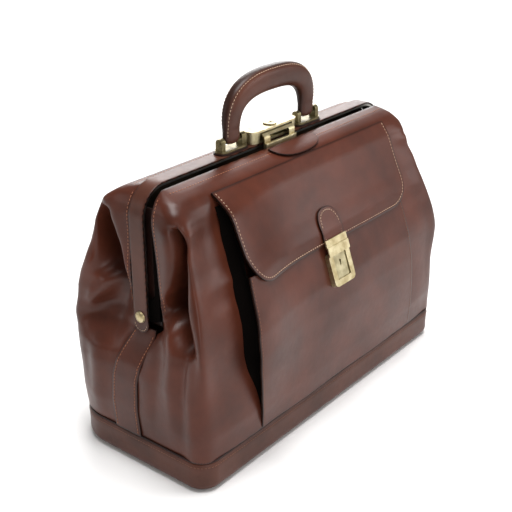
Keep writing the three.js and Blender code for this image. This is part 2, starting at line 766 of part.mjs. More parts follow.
const tuck = new THREE.Group();
tuck.position.set(TUCK.x, -between(POCKET_FACE, TUCK.z), TUCK.z);
tuck.rotation.x = Math.PI / 2 - THREE.MathUtils.degToRad(TUCK.tilt);
bag.add(tuck);

const CASE = { top: 7.5, bottom: -27, back: GAP, front: 6.3, bar: 6.6 };
const caseMiddle = (CASE.top + CASE.bottom) / 2;
const caseBlock = extrude(
  roundedRect(TUCK.halfWidth, (CASE.top - CASE.bottom) / 2, 5),
  CASE.front - CASE.back,
  5,
).translate(0, caseMiddle, CASE.back);
const WINDOW_HALF = 10.9;
const barTop = CASE.bottom + CASE.bar;
const notch = block([-WINDOW_HALF, WINDOW_HALF], [barTop, CASE.top + 1], [3.2, CASE.front + 1]);
const channel = block([-WINDOW_HALF, WINDOW_HALF], [CASE.bottom + 2, barTop + 1], [3.2, 5.3]);
add("tuck_lock_case", cut(caseBlock, notch, channel), BRASS, tuck);

// The sprung slide with the keyhole. Its lower edge runs down behind the case's bottom bar.
const SLIDE = { halfWidth: 10.4, top: 4.4, bottom: barTop - 1.4, back: 3.5, front: 5 };
const slideBlock = block(
  [-SLIDE.halfWidth, SLIDE.halfWidth],
  [SLIDE.bottom, SLIDE.top],
  [SLIDE.back, SLIDE.front],
);
const KEYHOLE = { y: -3, radius: 1.5, half: 0.8, length: 5 };
const keyholeRound = new THREE.CylinderGeometry(KEYHOLE.radius, KEYHOLE.radius, 4, 14)
  .rotateX(Math.PI / 2)
  .translate(0, KEYHOLE.y, SLIDE.front);
const keyholeSlot = block(
  [-KEYHOLE.half, KEYHOLE.half],
  [KEYHOLE.y - KEYHOLE.length, KEYHOLE.y],
  [SLIDE.back - 1, SLIDE.front + 1],
);
add("tuck_lock_slide", cut(slideBlock, keyholeRound, keyholeSlot), BRASS, tuck);

// A plate inside the pocket that the case is riveted to.
const backPlate = block([-15, 15], [-22, 4], [-LEATHER - GAP - 1, -LEATHER - GAP]);
add("tuck_lock_back_plate", backPlate, STEEL, tuck);

// The plate on the flap: a flat upper part, a step, and a lip over the case's mouth.
const PLATE = { top: 22, step: 14, lip: 5, back: 5.5, front: 7.3, lipFront: 8.1 };
const platePart = ([y0, y1], span) => block([-TUCK.halfWidth, TUCK.halfWidth], [y0, y1], span);
const tuckPlate = join(
  platePart([PLATE.step, PLATE.top], [PLATE.back, PLATE.front]),
  platePart([PLATE.lip, PLATE.step + 0.5], [CASE.front + 0.4, PLATE.lipFront]),
);
add("tuck_lock_plate", tuckPlate, BRASS, tuck);

// The hook behind the lip. It sits just above the slide's upper edge when the flap is shut.
const hook = block([-5, 5], [5.7, 11], [5.3, 6.3]);
const hookRoot = block([-5, 5], [CASE.top + GAP, 11], [3, 5.5]);
add("tuck_lock_hook", join(hook, hookRoot), STEEL, tuck);

export default bag;
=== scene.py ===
import math

import bpy
import numpy as np
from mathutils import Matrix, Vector


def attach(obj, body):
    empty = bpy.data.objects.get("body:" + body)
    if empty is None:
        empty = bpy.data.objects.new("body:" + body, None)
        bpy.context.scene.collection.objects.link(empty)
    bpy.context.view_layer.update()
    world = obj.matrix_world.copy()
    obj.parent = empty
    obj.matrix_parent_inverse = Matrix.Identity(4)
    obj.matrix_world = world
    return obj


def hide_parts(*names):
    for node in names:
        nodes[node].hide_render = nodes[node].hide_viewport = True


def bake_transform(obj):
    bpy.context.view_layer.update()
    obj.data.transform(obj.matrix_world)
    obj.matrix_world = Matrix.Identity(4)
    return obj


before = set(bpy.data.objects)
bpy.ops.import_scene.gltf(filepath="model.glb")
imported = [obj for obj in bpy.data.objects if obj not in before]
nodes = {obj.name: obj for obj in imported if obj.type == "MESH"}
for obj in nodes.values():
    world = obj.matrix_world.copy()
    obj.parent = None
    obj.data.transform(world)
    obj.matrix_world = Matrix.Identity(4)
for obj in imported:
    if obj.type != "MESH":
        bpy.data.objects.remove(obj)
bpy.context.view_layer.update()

# ---------------------------------------------------------------------------
# Studio: a plain, nearly white floor, one broad light overhead, a lower one off
# each corner of the bag, and a camera above the bag's front left corner.
# ---------------------------------------------------------------------------
scene = bpy.context.scene
MM = 0.001
BAG_MIDDLE = (0, 0, 150)


def srgb(hex_code):
    """A colour written as sRGB hex, turned to the linear values that Blender works in."""
    channels = [int(hex_code[i:i + 2], 16) / 255 for i in (1, 3, 5)]
    linear = [c / 12.92 if c <= 0.04045 else ((c + 0.055) / 1.055) ** 2.4 for c in channels]
    return (*linear, 1.0)


def add_node(material, kind, settings=(), inputs=(), links=()):
    """Adds one shader node, sets its properties and inputs, and links sockets into its inputs."""
    node = material.node_tree.nodes.new(kind)
    for name, value in dict(settings).items():
        setattr(node, name, value)
    for name, value in dict(inputs).items():
        node.inputs[name].default_value = value
    for name, source in dict(links).items():
        material.node_tree.links.new(source, node.inputs[name])
    return node


def new_material(name, colour, roughness, metallic=0.0, **more):
    """A material with one Principled shader, and the shader node to link patterns to."""
    material = bpy.data.materials.new(name)
    material.use_nodes = True
    shader = material.node_tree.nodes["Principled BSDF"]
    shader.inputs["Base Color"].default_value = srgb(colour)
    shader.inputs["Roughness"].default_value = roughness
    shader.inputs["Metallic"].default_value = metallic
    for socket, value in more.items():
        shader.inputs[socket.replace("_", " ")].default_value = value
    return material, shader


def mesh_piece(name, verts, faces, material):
    """A smooth mesh object from points in millimetres and faces, with its place in its mesh."""
    mesh = bpy.data.meshes.new(name)
    face_list = faces.tolist() if isinstance(faces, np.ndarray) else faces
    mesh.from_pydata((np.asarray(verts, float) * MM).tolist(), [], face_list)
    mesh.polygons.foreach_set("use_smooth", np.full(len(mesh.polygons), True))
    mesh.materials.append(material)
    piece = bpy.data.objects.new(name, mesh)
    scene.collection.objects.link(piece)
    return piece


FLOOR_HALF = 4000
FLOOR_COLOUR = "#f7f6f5"
# Painted studio floor: matt, nearly white, with only a soft contact shadow.
floor_paint, _ = new_material("floor_paint", FLOOR_COLOUR, 0.9)
floor_corners = [(-1, -1, 0), (1, -1, 0), (1, 1, 0), (-1, 1, 0)]
floor = mesh_piece("floor", np.array(floor_corners) * FLOOR_HALF, [(0, 1, 2, 3)], floor_paint)

world = bpy.data.worlds.new("studio")
scene.world = world
world.use_nodes = True
world.node_tree.nodes["Background"].inputs["Color"].default_value = (1, 1, 1, 1)
world.node_tree.nodes["Background"].inputs["Strength"].default_value = 0.25
scene.view_settings.view_transform = "Standard"


def turned_along(direction):
    """The rotation that makes a light or a camera look along a direction, with its top up."""
    return Vector(direction).to_track_quat("-Z", "Y").to_euler()


def soft_light(name, place, size, power):
    """A square area light at a place in metres, turned to face the bag's middle."""
    data = bpy.data.lights.new(name, "AREA")
    data.size = size
    data.energy = power
    light = bpy.data.objects.new(name, data)
    scene.collection.objects.link(light)
    light.location = place
    direction = np.array(BAG_MIDDLE) * MM - np.array(place)
    light.rotation_euler = turned_along(direction.tolist())


soft_light("overhead", (0.0, -0.2, 2.6), 1.2, 76)
soft_light("front_right", (1.6, -1.95, 0.95), 1.0, 19)
soft_light("rear_right", (2.1, 1.7, 1.35), 1.8, 58)
soft_light("front_left", (-1.1, -2.2, 0.75), 0.8, 11)
soft_light("rear_left", (-1.7, 1.6, 0.9), 0.7, 4)

CAMERA_PLACE = (-0.7504, -0.5854, 0.5837)
CAMERA_LOOKS_ALONG = (0.7085, 0.5693, -0.4169)
camera_data = bpy.data.cameras.new("camera")
camera_data.sensor_width = 36
camera_data.lens = 69
camera = bpy.data.objects.new("camera", camera_data)
scene.collection.objects.link(camera)
camera.location = CAMERA_PLACE
camera.rotation_euler = turned_along(CAMERA_LOOKS_ALONG)
scene.camera = camera

# ---------------------------------------------------------------------------
# Leather and thread: vegetable-tanned calf, dyed chestnut and waxed, sewn with
# tan, rust or brown linen thread. The body hide and the browner saddle leather of
# the trim share one fine grain, and cut edges are stained nearly black.
# ---------------------------------------------------------------------------
GRAIN_MM, GRAIN_DEPTH = 0.9, 0.05
CREASE_DEPTH = 0.25


def object_place(material):
    """The point on the piece, in metres, for a pattern to follow."""
    return add_node(material, "ShaderNodeTexCoord").outputs["Object"]


def mixed_colour(material, low, high, share):
    """A colour between two hex colours: the first where the share is 0, the second at 1."""
    mix = add_node(
        material, "ShaderNodeMix", {"data_type": "RGBA"},
        {"A": srgb(low), "B": srgb(high)}, {"Factor": share})
    return mix.outputs["Result"]


def leather(name, light, dark, edge, roughness, shine=0.27):
    """Calf hide: cloudy dye between two browns, darker where the edge attribute is 1,
    a fine pebble grain, and slow creases that break up the sheen."""
    material, shader = new_material(name, light, roughness, Specular_IOR_Level=shine)
    place = object_place(material)
    cloud = add_node(
        material, "ShaderNodeTexNoise", inputs={"Scale": 22, "Detail": 4, "Roughness": 0.55},
        links={"Vector": place})
    mottle = add_node(
        material, "ShaderNodeMapRange",
        inputs={"From Min": 0.35, "From Max": 0.68}, links={"Value": cloud.outputs["Fac"]})
    dyed = mixed_colour(material, dark, light, mottle.outputs["Result"])
    rim = add_node(material, "ShaderNodeAttribute", {"attribute_name": "edge"})
    stained = add_node(
        material, "ShaderNodeMix", {"data_type": "RGBA"}, {"B": srgb(edge)},
        {"Factor": rim.outputs["Fac"], "A": dyed})
    link = material.node_tree.links.new
    link(stained.outputs["Result"], shader.inputs["Base Color"])
    pores = add_node(
        material, "ShaderNodeTexVoronoi", {"feature": "SMOOTH_F1"},
        {"Scale": 1000 / GRAIN_MM, "Smoothness": 0.6}, {"Vector": place})
    creases = add_node(
        material, "ShaderNodeTexNoise", inputs={"Scale": 160, "Detail": 3}, links={"Vector": place})
    grain = add_node(
        material, "ShaderNodeBump", inputs={"Strength": 0.5, "Distance": GRAIN_DEPTH * MM},
        links={"Height": pores.outputs["Distance"]})
    surface = add_node(
        material, "ShaderNodeBump", inputs={"Strength": 0.35, "Distance": CREASE_DEPTH * MM},
        links={"Height": creases.outputs["Fac"], "Normal": grain.outputs["Normal"]})
    link(surface.outputs["Normal"], shader.inputs["Normal"])
    gloss = add_node(
        material, "ShaderNodeMapRange",
        inputs={"To Min": roughness - 0.06, "To Max": roughness + 0.08},
        links={"Value": creases.outputs["Fac"]})
    link(gloss.outputs["Result"], shader.inputs["Roughness"])
    return material


BODY_HIDE = leather("chestnut_calf_leather", "#562a1c", "#432015", "#1f0e08", 0.35)
TRIM_HIDE = leather("dark_saddle_leather", "#573124", "#422318", "#180b07", 0.4)
# Nearly black leather for stained edges, piping and pads; on the strips in the frame's gap it is
# painted shade.
EDGE_STAIN_AND_SHADE_HIDE = leather("stained_edge_and_shade_leather", "#2a120c", "#1b0b07", "#100605", 0.5)
# Near-black painted shade, for the folded sides inside the pocket and for the front frame bar: it
# stands in for the shade in the gaps there, and has almost no sheen.
PAINTED_SHADE_BLACK = leather("painted_shade_black", "#0a0706", "#070504", "#050303", 1.0, 0.03)


THREAD_SHADE = "#8a5a3c"


def thread(name, colour):
    """Waxed linen thread: matt, with a slight twist seen as a change of tone."""
    material, shader = new_material(name, colour, 0.6)
    place = object_place(material)
    twist = add_node(material, "ShaderNodeTexNoise", inputs={"Scale": 900}, links={"Vector": place})
    tone = mixed_colour(material, THREAD_SHADE, colour, twist.outputs["Fac"])
    material.node_tree.links.new(tone, shader.inputs["Base Color"])
    return material


TAN_THREAD = thread("waxed_linen_tan", "#d9c2a6")
RUST_THREAD = thread("waxed_linen_rust", "#a8684a")
BROWN_THREAD = thread("waxed_linen_brown", "#5f3526")


def grid_faces(rows, columns, close_columns=False):
    """Quads between neighbouring rows and columns of a grid of points."""
    index = np.arange(rows * columns).reshape(rows, columns)
    if close_columns:
        index = np.concatenate([index, index[:, :1]], axis=1)
    corners = [index[:-1, :-1], index[:-1, 1:], index[1:, 1:], index[1:, :-1]]
    return np.stack(corners, -1).reshape(-1, 4)


def facing(grid, faces, toward):
    """The faces, turned over if most of them look away from the given direction, or look
    towards what the surface wraps round: a list of one point, or of one row of points."""
    points = grid.reshape(-1, 3)[faces]
    normals = np.cross(points[:, 2] - points[:, 0], points[:, 3] - points[:, 1])
    toward = np.asarray(toward, float)
    outward = toward if toward.ndim == 1 else points.mean(1) - toward[0]
    return faces if (normals * outward).sum() > 0 else faces[:, ::-1]


RUBBED_ROUND = 0.35
RUBBED_FROM_DEGREES = 62
BORDER_POINTS = 60


def thicken(piece, thick):
    """Gives a sheet its thickness in millimetres, inwards from its outer face."""
    solid = piece.modifiers.new("thickness", "SOLIDIFY")
    solid.thickness = thick * MM
    solid.offset = -1


def hide_sheet(name, grid, thick, toward, material, edge_mm=0.0, close=False):
    """A sheet of leather: its outer face is the grid, its thickness goes inwards, and its
    corners are rubbed round. The edge attribute is 1 along the open border."""
    rows, columns = grid.shape[:2]
    faces = facing(grid, grid_faces(rows, columns, close), toward)
    piece = mesh_piece(name, grid.reshape(-1, 3), faces, material)
    if edge_mm:
        gap = np.full((rows, columns), 1e9)
        for border in (grid[:1], grid[-1:], grid[:, :1], grid[:, -1:]):
            line = border.reshape(-1, 3)
            for point in line[:: max(1, len(line) // BORDER_POINTS)]:
                gap = np.minimum(gap, np.linalg.norm(grid - point, axis=2))
        shade = np.clip(1 - gap / edge_mm, 0, 1).ravel()
        attribute = piece.data.attributes.new("edge", "FLOAT", "POINT")
        attribute.data.foreach_set("value", shade.astype(np.float32))
    thicken(piece, thick)
    rounded = piece.modifiers.new("rubbed_corners", "BEVEL")
    rounded.width = RUBBED_ROUND * MM
    rounded.segments = 2
    rounded.limit_method = "ANGLE"
    rounded.angle_limit = math.radians(RUBBED_FROM_DEGREES)
    return piece


# One stitch: a point, a square ring, another ring and a point; two ends and four sides.
STITCH_TEMPLATE = np.array(
    [(-0.5, 0, -0.6)]
    + [(-0.32, math.cos(a), math.sin(a)) for a in (0, 1.571, 3.142, 4.712)]
    + [(0.32, math.cos(a), math.sin(a)) for a in (0, 1.571, 3.142, 4.712)]
    + [(0.5, 0, -0.6)])
STITCH_FACES = (
    [(0, 1 + (k + 1) % 4, 1 + k) for k in range(4)]
    + [(9, 5 + k, 5 + (k + 1) % 4) for k in range(4)])
STITCH_SIDES = [(1 + k, 1 + (k + 1) % 4, 5 + (k + 1) % 4, 5 + k) for k in range(4)]


def stitch_row(name, path, normals, material, pitch=3.4, length=2.7, radius=0.42):
    """A row of short thread bumps along a path that lies on a surface. Each is a small
    spindle along the path, set half into the leather."""
    path = np.asarray(path, float)
    normals = np.asarray(normals, float)
    steps = np.linalg.norm(np.diff(path, axis=0), axis=1)
    along = np.concatenate([[0], np.cumsum(steps)])
    count = max(2, int(along[-1] / pitch))
    at = (np.arange(count) + 0.5) * along[-1] / count

    def sample(values, where):
        return np.stack([np.interp(where, along, values[:, k]) for k in range(3)], 1)

    centre = sample(path, at)
    tangent = sample(path, at + 0.5) - sample(path, at - 0.5)
    tangent /= np.linalg.norm(tangent, axis=1)[:, None]
    normal = sample(normals, at)
    normal -= (normal * tangent).sum(1)[:, None] * tangent
    normal /= np.linalg.norm(normal, axis=1)[:, None]
    side = np.cross(normal, tangent)
    shape = STITCH_TEMPLATE * (length, radius, radius)
    verts = (
        centre[:, None]
        + shape[None, :, :1] * tangent[:, None]
        + shape[None, :, 1:2] * side[:, None]
        + shape[None, :, 2:] * normal[:, None])
    first = (np.arange(count) * len(shape))[:, None, None]
    sides = (np.array(STITCH_SIDES)[None] + first).reshape(-1, 4)
    ends = (np.array(STITCH_FACES)[None] + first).reshape(-1, 3)
    return mesh_piece(name, verts.reshape(-1, 3), sides.tolist() + ends.tolist(), material)


def outward_normals(grid):
    """Unit normals of a grid of points, from the differences along its rows and columns,
    turned over if most of them look towards the bag's middle."""
    normals = np.cross(np.gradient(grid, axis=1), np.gradient(grid, axis=0))
    normals /= np.maximum(np.linalg.norm(normals, axis=2), 1e-9)[..., None]
    return -normals if (normals * (grid - np.array(BAG_MIDDLE))).sum() < 0 else normals


def smooth_table(table, heights, reach=7.0):
    """Each column of a table against height, straight between its rows and then averaged
    over a short reach, so that no kink is left at a row."""
    table = np.array(sorted(table), float)
    offsets = np.linspace(-reach, reach, 9)
    weights = np.cos(offsets / reach * math.pi / 2) ** 2
    weights /= weights.sum()
    columns = []
    for k in range(1, table.shape[1]):
        column = sum(
            w * np.interp(heights + o, table[:, 0], table[:, k])
            for w, o in zip(weights, offsets))
        columns.append(column)
    return np.stack(columns, 1)


def spline(points, counts):
    """Centripetal Catmull-Rom curves through control points, which neither loop nor bulge
    where the points are unevenly spaced. points is rows x controls x 2, and counts says
    how many steps each span gets."""
    first = 2 * points[:, :1] - points[:, 1:2]
    last = 2 * points[:, -1:] - points[:, -2:-1]
    p = np.concatenate([first, points, last], axis=1)
    knot = np.sqrt(np.maximum(np.linalg.norm(np.diff(p, axis=1), axis=2), 0.3))[..., None]
    spans = []
    for k, count in enumerate(counts):
        t = (np.arange(count) / count)[None, :, None]
        p0, p1, p2, p3 = (p[:, k + j][:, None] for j in range(4))
        d0, d1, d2 = (knot[:, k + j][:, None] for j in range(3))
        leave = ((p1 - p0) / d0 - (p2 - p0) / (d0 + d1) + (p2 - p1) / d1) * d1
        arrive = ((p2 - p1) / d1 - (p3 - p1) / (d1 + d2) + (p3 - p2) / d2) * d1
        spans.append(
            (2 * t ** 3 - 3 * t ** 2 + 1) * p1 + (t ** 3 - 2 * t ** 2 + t) * leave
            + (3 * t ** 2 - 2 * t ** 3) * p2 + (t ** 3 - t ** 2) * arrive)
    spans.append(points[:, -1:])
    return np.concatenate(spans, axis=1)


# ---------------------------------------------------------------------------
# Base: a moulded leather tray over a fibre board, with a dark piped seam where
# the walls are sewn to it. The tray is turned up 32 mm all round.
# ---------------------------------------------------------------------------
BASE = {"half_length": 209, "half_depth": 90.2, "corner": 21, "rear_corner": 43,
        "height": 32, "round": 9}


def rounded_outline(half_length, half_depth, front_corner, rear_corner):
    """A rectangle with round corners, walked once round from the middle of the right end,
    with its outward normals: arcs at the corners, straight runs between them."""
    corners = [
        (1, 1, rear_corner), (-1, 1, rear_corner),
        (-1, -1, front_corner), (1, -1, front_corner)]
    points, normals = [], []
    for k, (sx, sy, radius) in enumerate(corners):
        angle = k * math.pi / 2 + np.linspace(0, math.pi / 2, 22)
        normal = np.stack([np.cos(angle), np.sin(angle)], 1)
        centre = np.array([sx * (half_length - radius), sy * (half_depth - radius)])
        points.append(centre + radius * normal)
        normals.append(normal)
    all_points, all_normals = [], []
    for k in range(4):
        start, end = points[k - 1][-1], points[k][0]
        share = np.linspace(0, 1, 32)[1:-1, None]
        all_points += [start + (end - start) * share, points[k]]
        all_normals += [np.tile(normals[k][0], (len(share), 1)), normals[k]]
    return np.concatenate(all_points), np.concatenate(all_normals)


outline, outline_normals = rounded_outline(
    BASE["half_length"], BASE["half_depth"], BASE["corner"], BASE["rear_corner"])
turn_up = np.linspace(0, math.pi / 2, 9)
CLEAR_OF_FLOOR = 0.05
# The tray's profile: how far in from the outline, and how high.
band_profile = [(BASE["round"] + 5, CLEAR_OF_FLOOR)]
for a in turn_up:
    band_profile.append((
        BASE["round"] * (1 - math.sin(a)),
        BASE["round"] * (1 - math.cos(a)) + CLEAR_OF_FLOOR))
band_profile += [
    (0.3, 16.0), (0.1, 24.0), (0.2, BASE["height"] - 0.8), (0.9, BASE["height"] - 0.1)]
inset = np.array([p[0] for p in band_profile])[:, None, None]
rise = np.array([p[1] for p in band_profile])[:, None]
band_xy = outline[None] - inset * outline_normals[None]
band_z = np.broadcast_to(rise[..., None], band_xy.shape[:2] + (1,))
band_grid = np.concatenate([band_xy, band_z], 2)
base_tray = hide_sheet("base_tray", band_grid, 2.4, [(0, 0, 20)], TRIM_HIDE, 0, close=True)
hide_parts("base_band")
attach(base_tray, "lower_bag")
SEAM_DROP = 4.0
seam_path = np.column_stack([outline, np.full(len(outline), BASE["height"] - SEAM_DROP)])
seam_path = np.concatenate([seam_path, seam_path[:1]])
seam_normals = np.column_stack([outline_normals, np.zeros(len(outline))])
seam_normals = np.concatenate([seam_normals, seam_normals[:1]])
base_stitches = stitch_row("base_stitches", seam_path, seam_normals, BROWN_THREAD, 3.4, 2.6, 0.36)
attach(base_stitches, "lower_bag")

# The bottom: one flat panel that closes the tray, joined to the tray's turned-in edge.
BOTTOM = {"inset": 10.5, "height": 0.6, "thick": 1.8}
bottom_xy = outline - BOTTOM["inset"] * outline_normals
bottom_ring = np.column_stack([bottom_xy, np.full(len(outline), BOTTOM["height"])])
bottom_verts = np.concatenate([bottom_ring, [(0, 0, BOTTOM["height"])]])
rim_index = np.arange(len(bottom_ring))
middle_index = np.full(len(rim_index), len(rim_index))
bottom_faces = np.stack([np.roll(rim_index, -1), rim_index, middle_index], 1)
bottom = mesh_piece("bottom_hide", bottom_verts, bottom_faces, TRIM_HIDE)
thicken(bottom, BOTTOM["thick"])
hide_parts("bottom_panel")
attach(bottom, "lower_bag")


def closed_cord(name, path, radius, material, sides=10):
    """A round cord along a closed path of points: at each point a ring square to the path."""
    tangent = np.roll(path, -1, 0) - np.roll(path, 1, 0)
    tangent /= np.linalg.norm(tangent, axis=1)[:, None]
    up = np.array([0, 0, 1.0])
    side = np.cross(tangent, up)
    side /= np.linalg.norm(side, axis=1)[:, None]
    rise_axis = np.cross(side, tangent)
    a = np.arange(sides) / sides * 2 * math.pi
    ring = path[:, None] + radius * (
        np.cos(a)[None, :, None] * side[:, None] + np.sin(a)[None, :, None] * rise_axis[:, None])
    ring = np.concatenate([ring, ring[:1]])
    faces = facing(ring, grid_faces(len(ring), sides, True), [np.repeat(path, sides, 0)])
    return mesh_piece(name, ring.reshape(-1, 3), faces, material)


PIPING = {"radius": 1.2, "inset": 1.4, "above": 1.0}
piping_xy = outline - PIPING["inset"] * outline_normals
piping_z = np.full(len(outline), BASE["height"] + PIPING["above"])
piping = closed_cord(
    "base_piping_cord", np.column_stack([piping_xy, piping_z]), PIPING["radius"], EDGE_STAIN_AND_SHADE_HIDE)
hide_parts("base_piping")
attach(piping, "lower_bag")


def finish_nodes(material, *names):
    """Gives CAD nodes whose shape is right their finish."""
    for name in names:
        slots = nodes[name].data.materials
        slots.clear()
        slots.append(material)


# Pressed fibre board: speckled mid brown, dull, from pulp and glue.
board_fibre, board_shader = new_material("pressed_fibre_board", "#7a5a3c", 0.85)
fibre = add_node(
    board_fibre, "ShaderNodeTexNoise",
    inputs={"Scale": 350, "Detail": 6}, links={"Vector": object_place(board_fibre)})
fibre_tone = mixed_colour(board_fibre, "#5e4430", "#8d6c4a", fibre.outputs["Fac"])
board_fibre.node_tree.links.new(fibre_tone, board_shader.inputs["Base Color"])
finish_nodes(board_fibre, "base_board")

# ---------------------------------------------------------------------------
# Walls: one hide for the front half and one for the rear half, sewn to the base
# and to the frame, and to each other under a strap at the ends. Under the frame's
# shoulders the hide is pushed in, which leaves a flat ear by the frame, a deep
# fold behind it and a rolled crest at the corner.
# Each section at one height runs: seam, ear, two points in the fold, two on the
# crest, the face, the middle. Rows are height, then x, y of the first six, then
# x of the face and its depth.
# ---------------------------------------------------------------------------
FRONT_SECTIONS = [
    (277, 172.8, 15, 172, 15.1, 170, 15.2, 168, 15.2, 165, 15.2, 160, 15.2, 140, 15.2),
    (274, 178, 15.5, 178, 20, 176, 23, 172, 25, 168, 26, 162, 27, 145, 27.5),
    (270, 183, 16, 183.5, 25, 181, 31, 177, 34, 172, 35.5, 165, 36.5, 146, 37),
    (262, 188, 17, 189, 32, 187.5, 37, 185.5, 40, 182, 42.3, 176, 43.5, 150, 43.5),
    (254, 190, 17.5, 191, 36, 190, 41, 188, 43.8, 185.5, 46, 180, 49.6, 150, 47.3),
    (250.5, 190, 17.5, 191, 36, 186, 41, 184, 43.5, 185, 46.8, 180, 49.6, 150, 48.2),
    (247, 190.4, 18, 192, 38, 166, 41, 163, 42.5, 183, 48, 182, 53, 152, 49.5),
    (236, 190.4, 19, 192, 40, 146.9, 43, 143.9, 45.5, 177.9, 49, 182.9, 55, 156, 53),
    (225, 190.4, 20, 192, 41, 137, 45, 135, 49.5, 183.2, 52.5, 188.2, 58.5, 160, 57.5),
    (210, 190.4, 21.5, 192, 40, 135, 45, 133, 54, 188.4, 57.2, 191.4, 63.7, 163, 63.5),
    (195, 190.4, 23, 191.5, 36, 134, 43, 132, 60, 193.1, 61.4, 195.1, 70.4, 170, 71),
    (183, 190.4, 24.5, 190.5, 30, 136, 39, 134, 63, 196.4, 64.7, 197.4, 75.7, 174, 74.8),
    (172, 190.4, 25.5, 184, 29, 148, 40, 138, 68, 198.1, 68.3, 200.1, 79.3, 177, 79),
    (163, 190, 26, 186, 31, 190, 43, 146, 67, 198.1, 70.3, 202.1, 81.8, 180, 81.5),
    (155, 189.4, 26, 196, 36, 201.5, 46, 162.2, 65, 199.1, 72.3, 203.6, 83.3, 181, 83.5),
    (147, 188.5, 25, 198.5, 34, 204, 47, 184, 65, 200.6, 74.8, 204.6, 84.8, 182, 85),
    (138, 188.5, 14, 199, 30, 205, 48, 201, 64, 204, 77, 205, 86, 182, 86),
    (126, 194, 3, 202, 22, 205.5, 45, 206, 62, 206, 77, 204, 86.5, 182, 86.5),
    (100, 204, -6, 207.8, 12, 208.8, 40, 209.3, 60, 208.3, 76, 202, 86, 182, 87.5),
    (60, 207, -6, 209.5, 15, 210, 42, 210, 61, 209.9, 77.1, 201.4, 86.6, 181, 90.8),
    (33.5, 207, -6, 207, 15, 207, 42, 206.8, 60, 207.8, 76.3, 200.8, 86.3, 180, 89),
]
REAR_SECTIONS = [
    (277, 172.8, 9.5, 172, 10, 170, 10.3, 168, 10.5, 165, 10.6, 160, 10.6, 140, 10.6),
    (274, 178, 9.5, 178, 15, 177, 20, 174, 23, 171, 24, 165, 24.5, 145, 24.5),
    (270, 183, 9.5, 184, 22, 183, 30, 181, 33, 178, 34, 170, 35, 148, 35),
    (262, 188, 9.5, 189, 30, 190.5, 39, 189, 43, 186, 45, 178, 46, 150, 44),
    (255, 190, 9.5, 191, 32, 191, 41, 189.3, 45.4, 187.6, 47.8, 179.6, 48.8, 150, 46),
    (245, 190.4, 9.5, 191.5, 32, 178, 41, 176.6, 46.8, 189.1, 51.6, 184.1, 54.6, 152, 48.5),
    (236, 190.4, 9.5, 191.5, 28, 162, 38, 161.3, 48.8, 189.5, 55.6, 184.5, 59.6, 153, 51),
    (225, 190.4, 10, 191.5, 23, 152, 33, 151.5, 49, 189.8, 57, 186.8, 62, 158, 55.5),
    (212, 190.4, 10.5, 191.5, 19.5, 150, 29, 151.6, 48.1, 189.9, 58.1, 188.9, 65.1, 160, 60),
    (200, 190.4, 11, 191.5, 16, 156, 26, 159.6, 46.1, 190.9, 60.3, 191.4, 69.3, 163, 66),
    (190, 190.4, 11.5, 190.5, 14, 166, 24, 172.7, 44.2, 193, 61.4, 193, 72.4, 165, 72.4),
    (180, 190.4, 11.5, 189, 14, 175, 25, 187.1, 44.8, 194.8, 63.6, 194.3, 76.6, 166, 77.5),
    (165, 190, 11.5, 187, 16, 178, 29, 184.4, 49.2, 194.4, 66.4, 195.4, 81.4, 168, 83.5),
    (150, 189, 11, 185, 18, 178, 34, 181.4, 51.2, 190.4, 67.4, 194.9, 83.9, 168, 88),
    (138, 188.5, 10, 187, 20, 183, 36, 185.7, 51.6, 192.9, 69.2, 195.4, 85.2, 168, 89.5),
    (126, 194, 8, 197, 20, 195, 34, 197.7, 50.6, 200.9, 69.1, 195.9, 85.1, 168, 90.5),
    (115, 200, 6, 203, 18, 205, 32, 207.6, 51.5, 205.8, 69, 195.8, 85, 168, 90.5),
    (100, 204, 6, 206.8, 18, 208.8, 34, 210.6, 53, 206.6, 70, 195.6, 84, 168, 90.5),
    (60, 207, 6, 209.5, 18, 210, 34, 211.2, 52.2, 206, 68.4, 195.5, 81.4, 168, 90.2),
    (33.5, 207, 6, 207, 18, 207, 34, 207.2, 51.2, 203.7, 65.9, 194.2, 79.4, 167, 88.6),
]
WALL_BOTTOM, WALL_TOP = 33.2, 277.0
WALL_STEPS = (9, 12, 6, 14, 9, 14, 22)
# The rows of the grid lie closer over the last part of its height.
CLOSE_ROWS, CLOSE_FROM = 24, 0.94
SECTION_REACH = 4.5
# Above this height the sections are followed more and more sharply, up to the seam.
SHARP_FROM, SHARP_OVER = 266, 11
# The folds at the ends begin at this x and are full this much further out.
END_FROM, END_OVER = 150, 30
WAVE = 0.9


def bump(distance, width):
    """A smooth hill, 1 at its middle."""
    return np.exp(-(distance / width) ** 2)


def front_folds(y, z):
    """How far the front end swells or sinks: soft upright folds that hang from the crest."""
    window = np.clip((150 - z) / 25, 0, 1) * np.clip((z - 34) / 70, 0, 1)
    groove = -3.2 * bump(y - 62 - (138 - z) * 0.04, 6.5)
    hill = 2.0 * bump(y - 49 - (138 - z) * 0.02, 7)
    groove_2 = -2.2 * bump(y - 34 + (138 - z) * 0.06, 8)
    return window * (groove + hill + groove_2)


def rear_folds(y, z):
    """The rear end's creases: two ridges that run down and out from the pivot."""
    ridge = 9 * bump((z - 183) + 0.93 * (y - 34), 11) * bump(y - 54, 26)
    second = 5 * bump((z - 214) + 0.9 * (y - 38), 8) * bump(y - 50, 16)
    window = np.clip((122 - z) / 20, 0, 1) * np.clip((z - 34) / 70, 0, 1)
    soft = -2.5 * window * bump(y - 62, 9) + 1.5 * window * bump(y - 44, 9)
    return ridge + second + soft


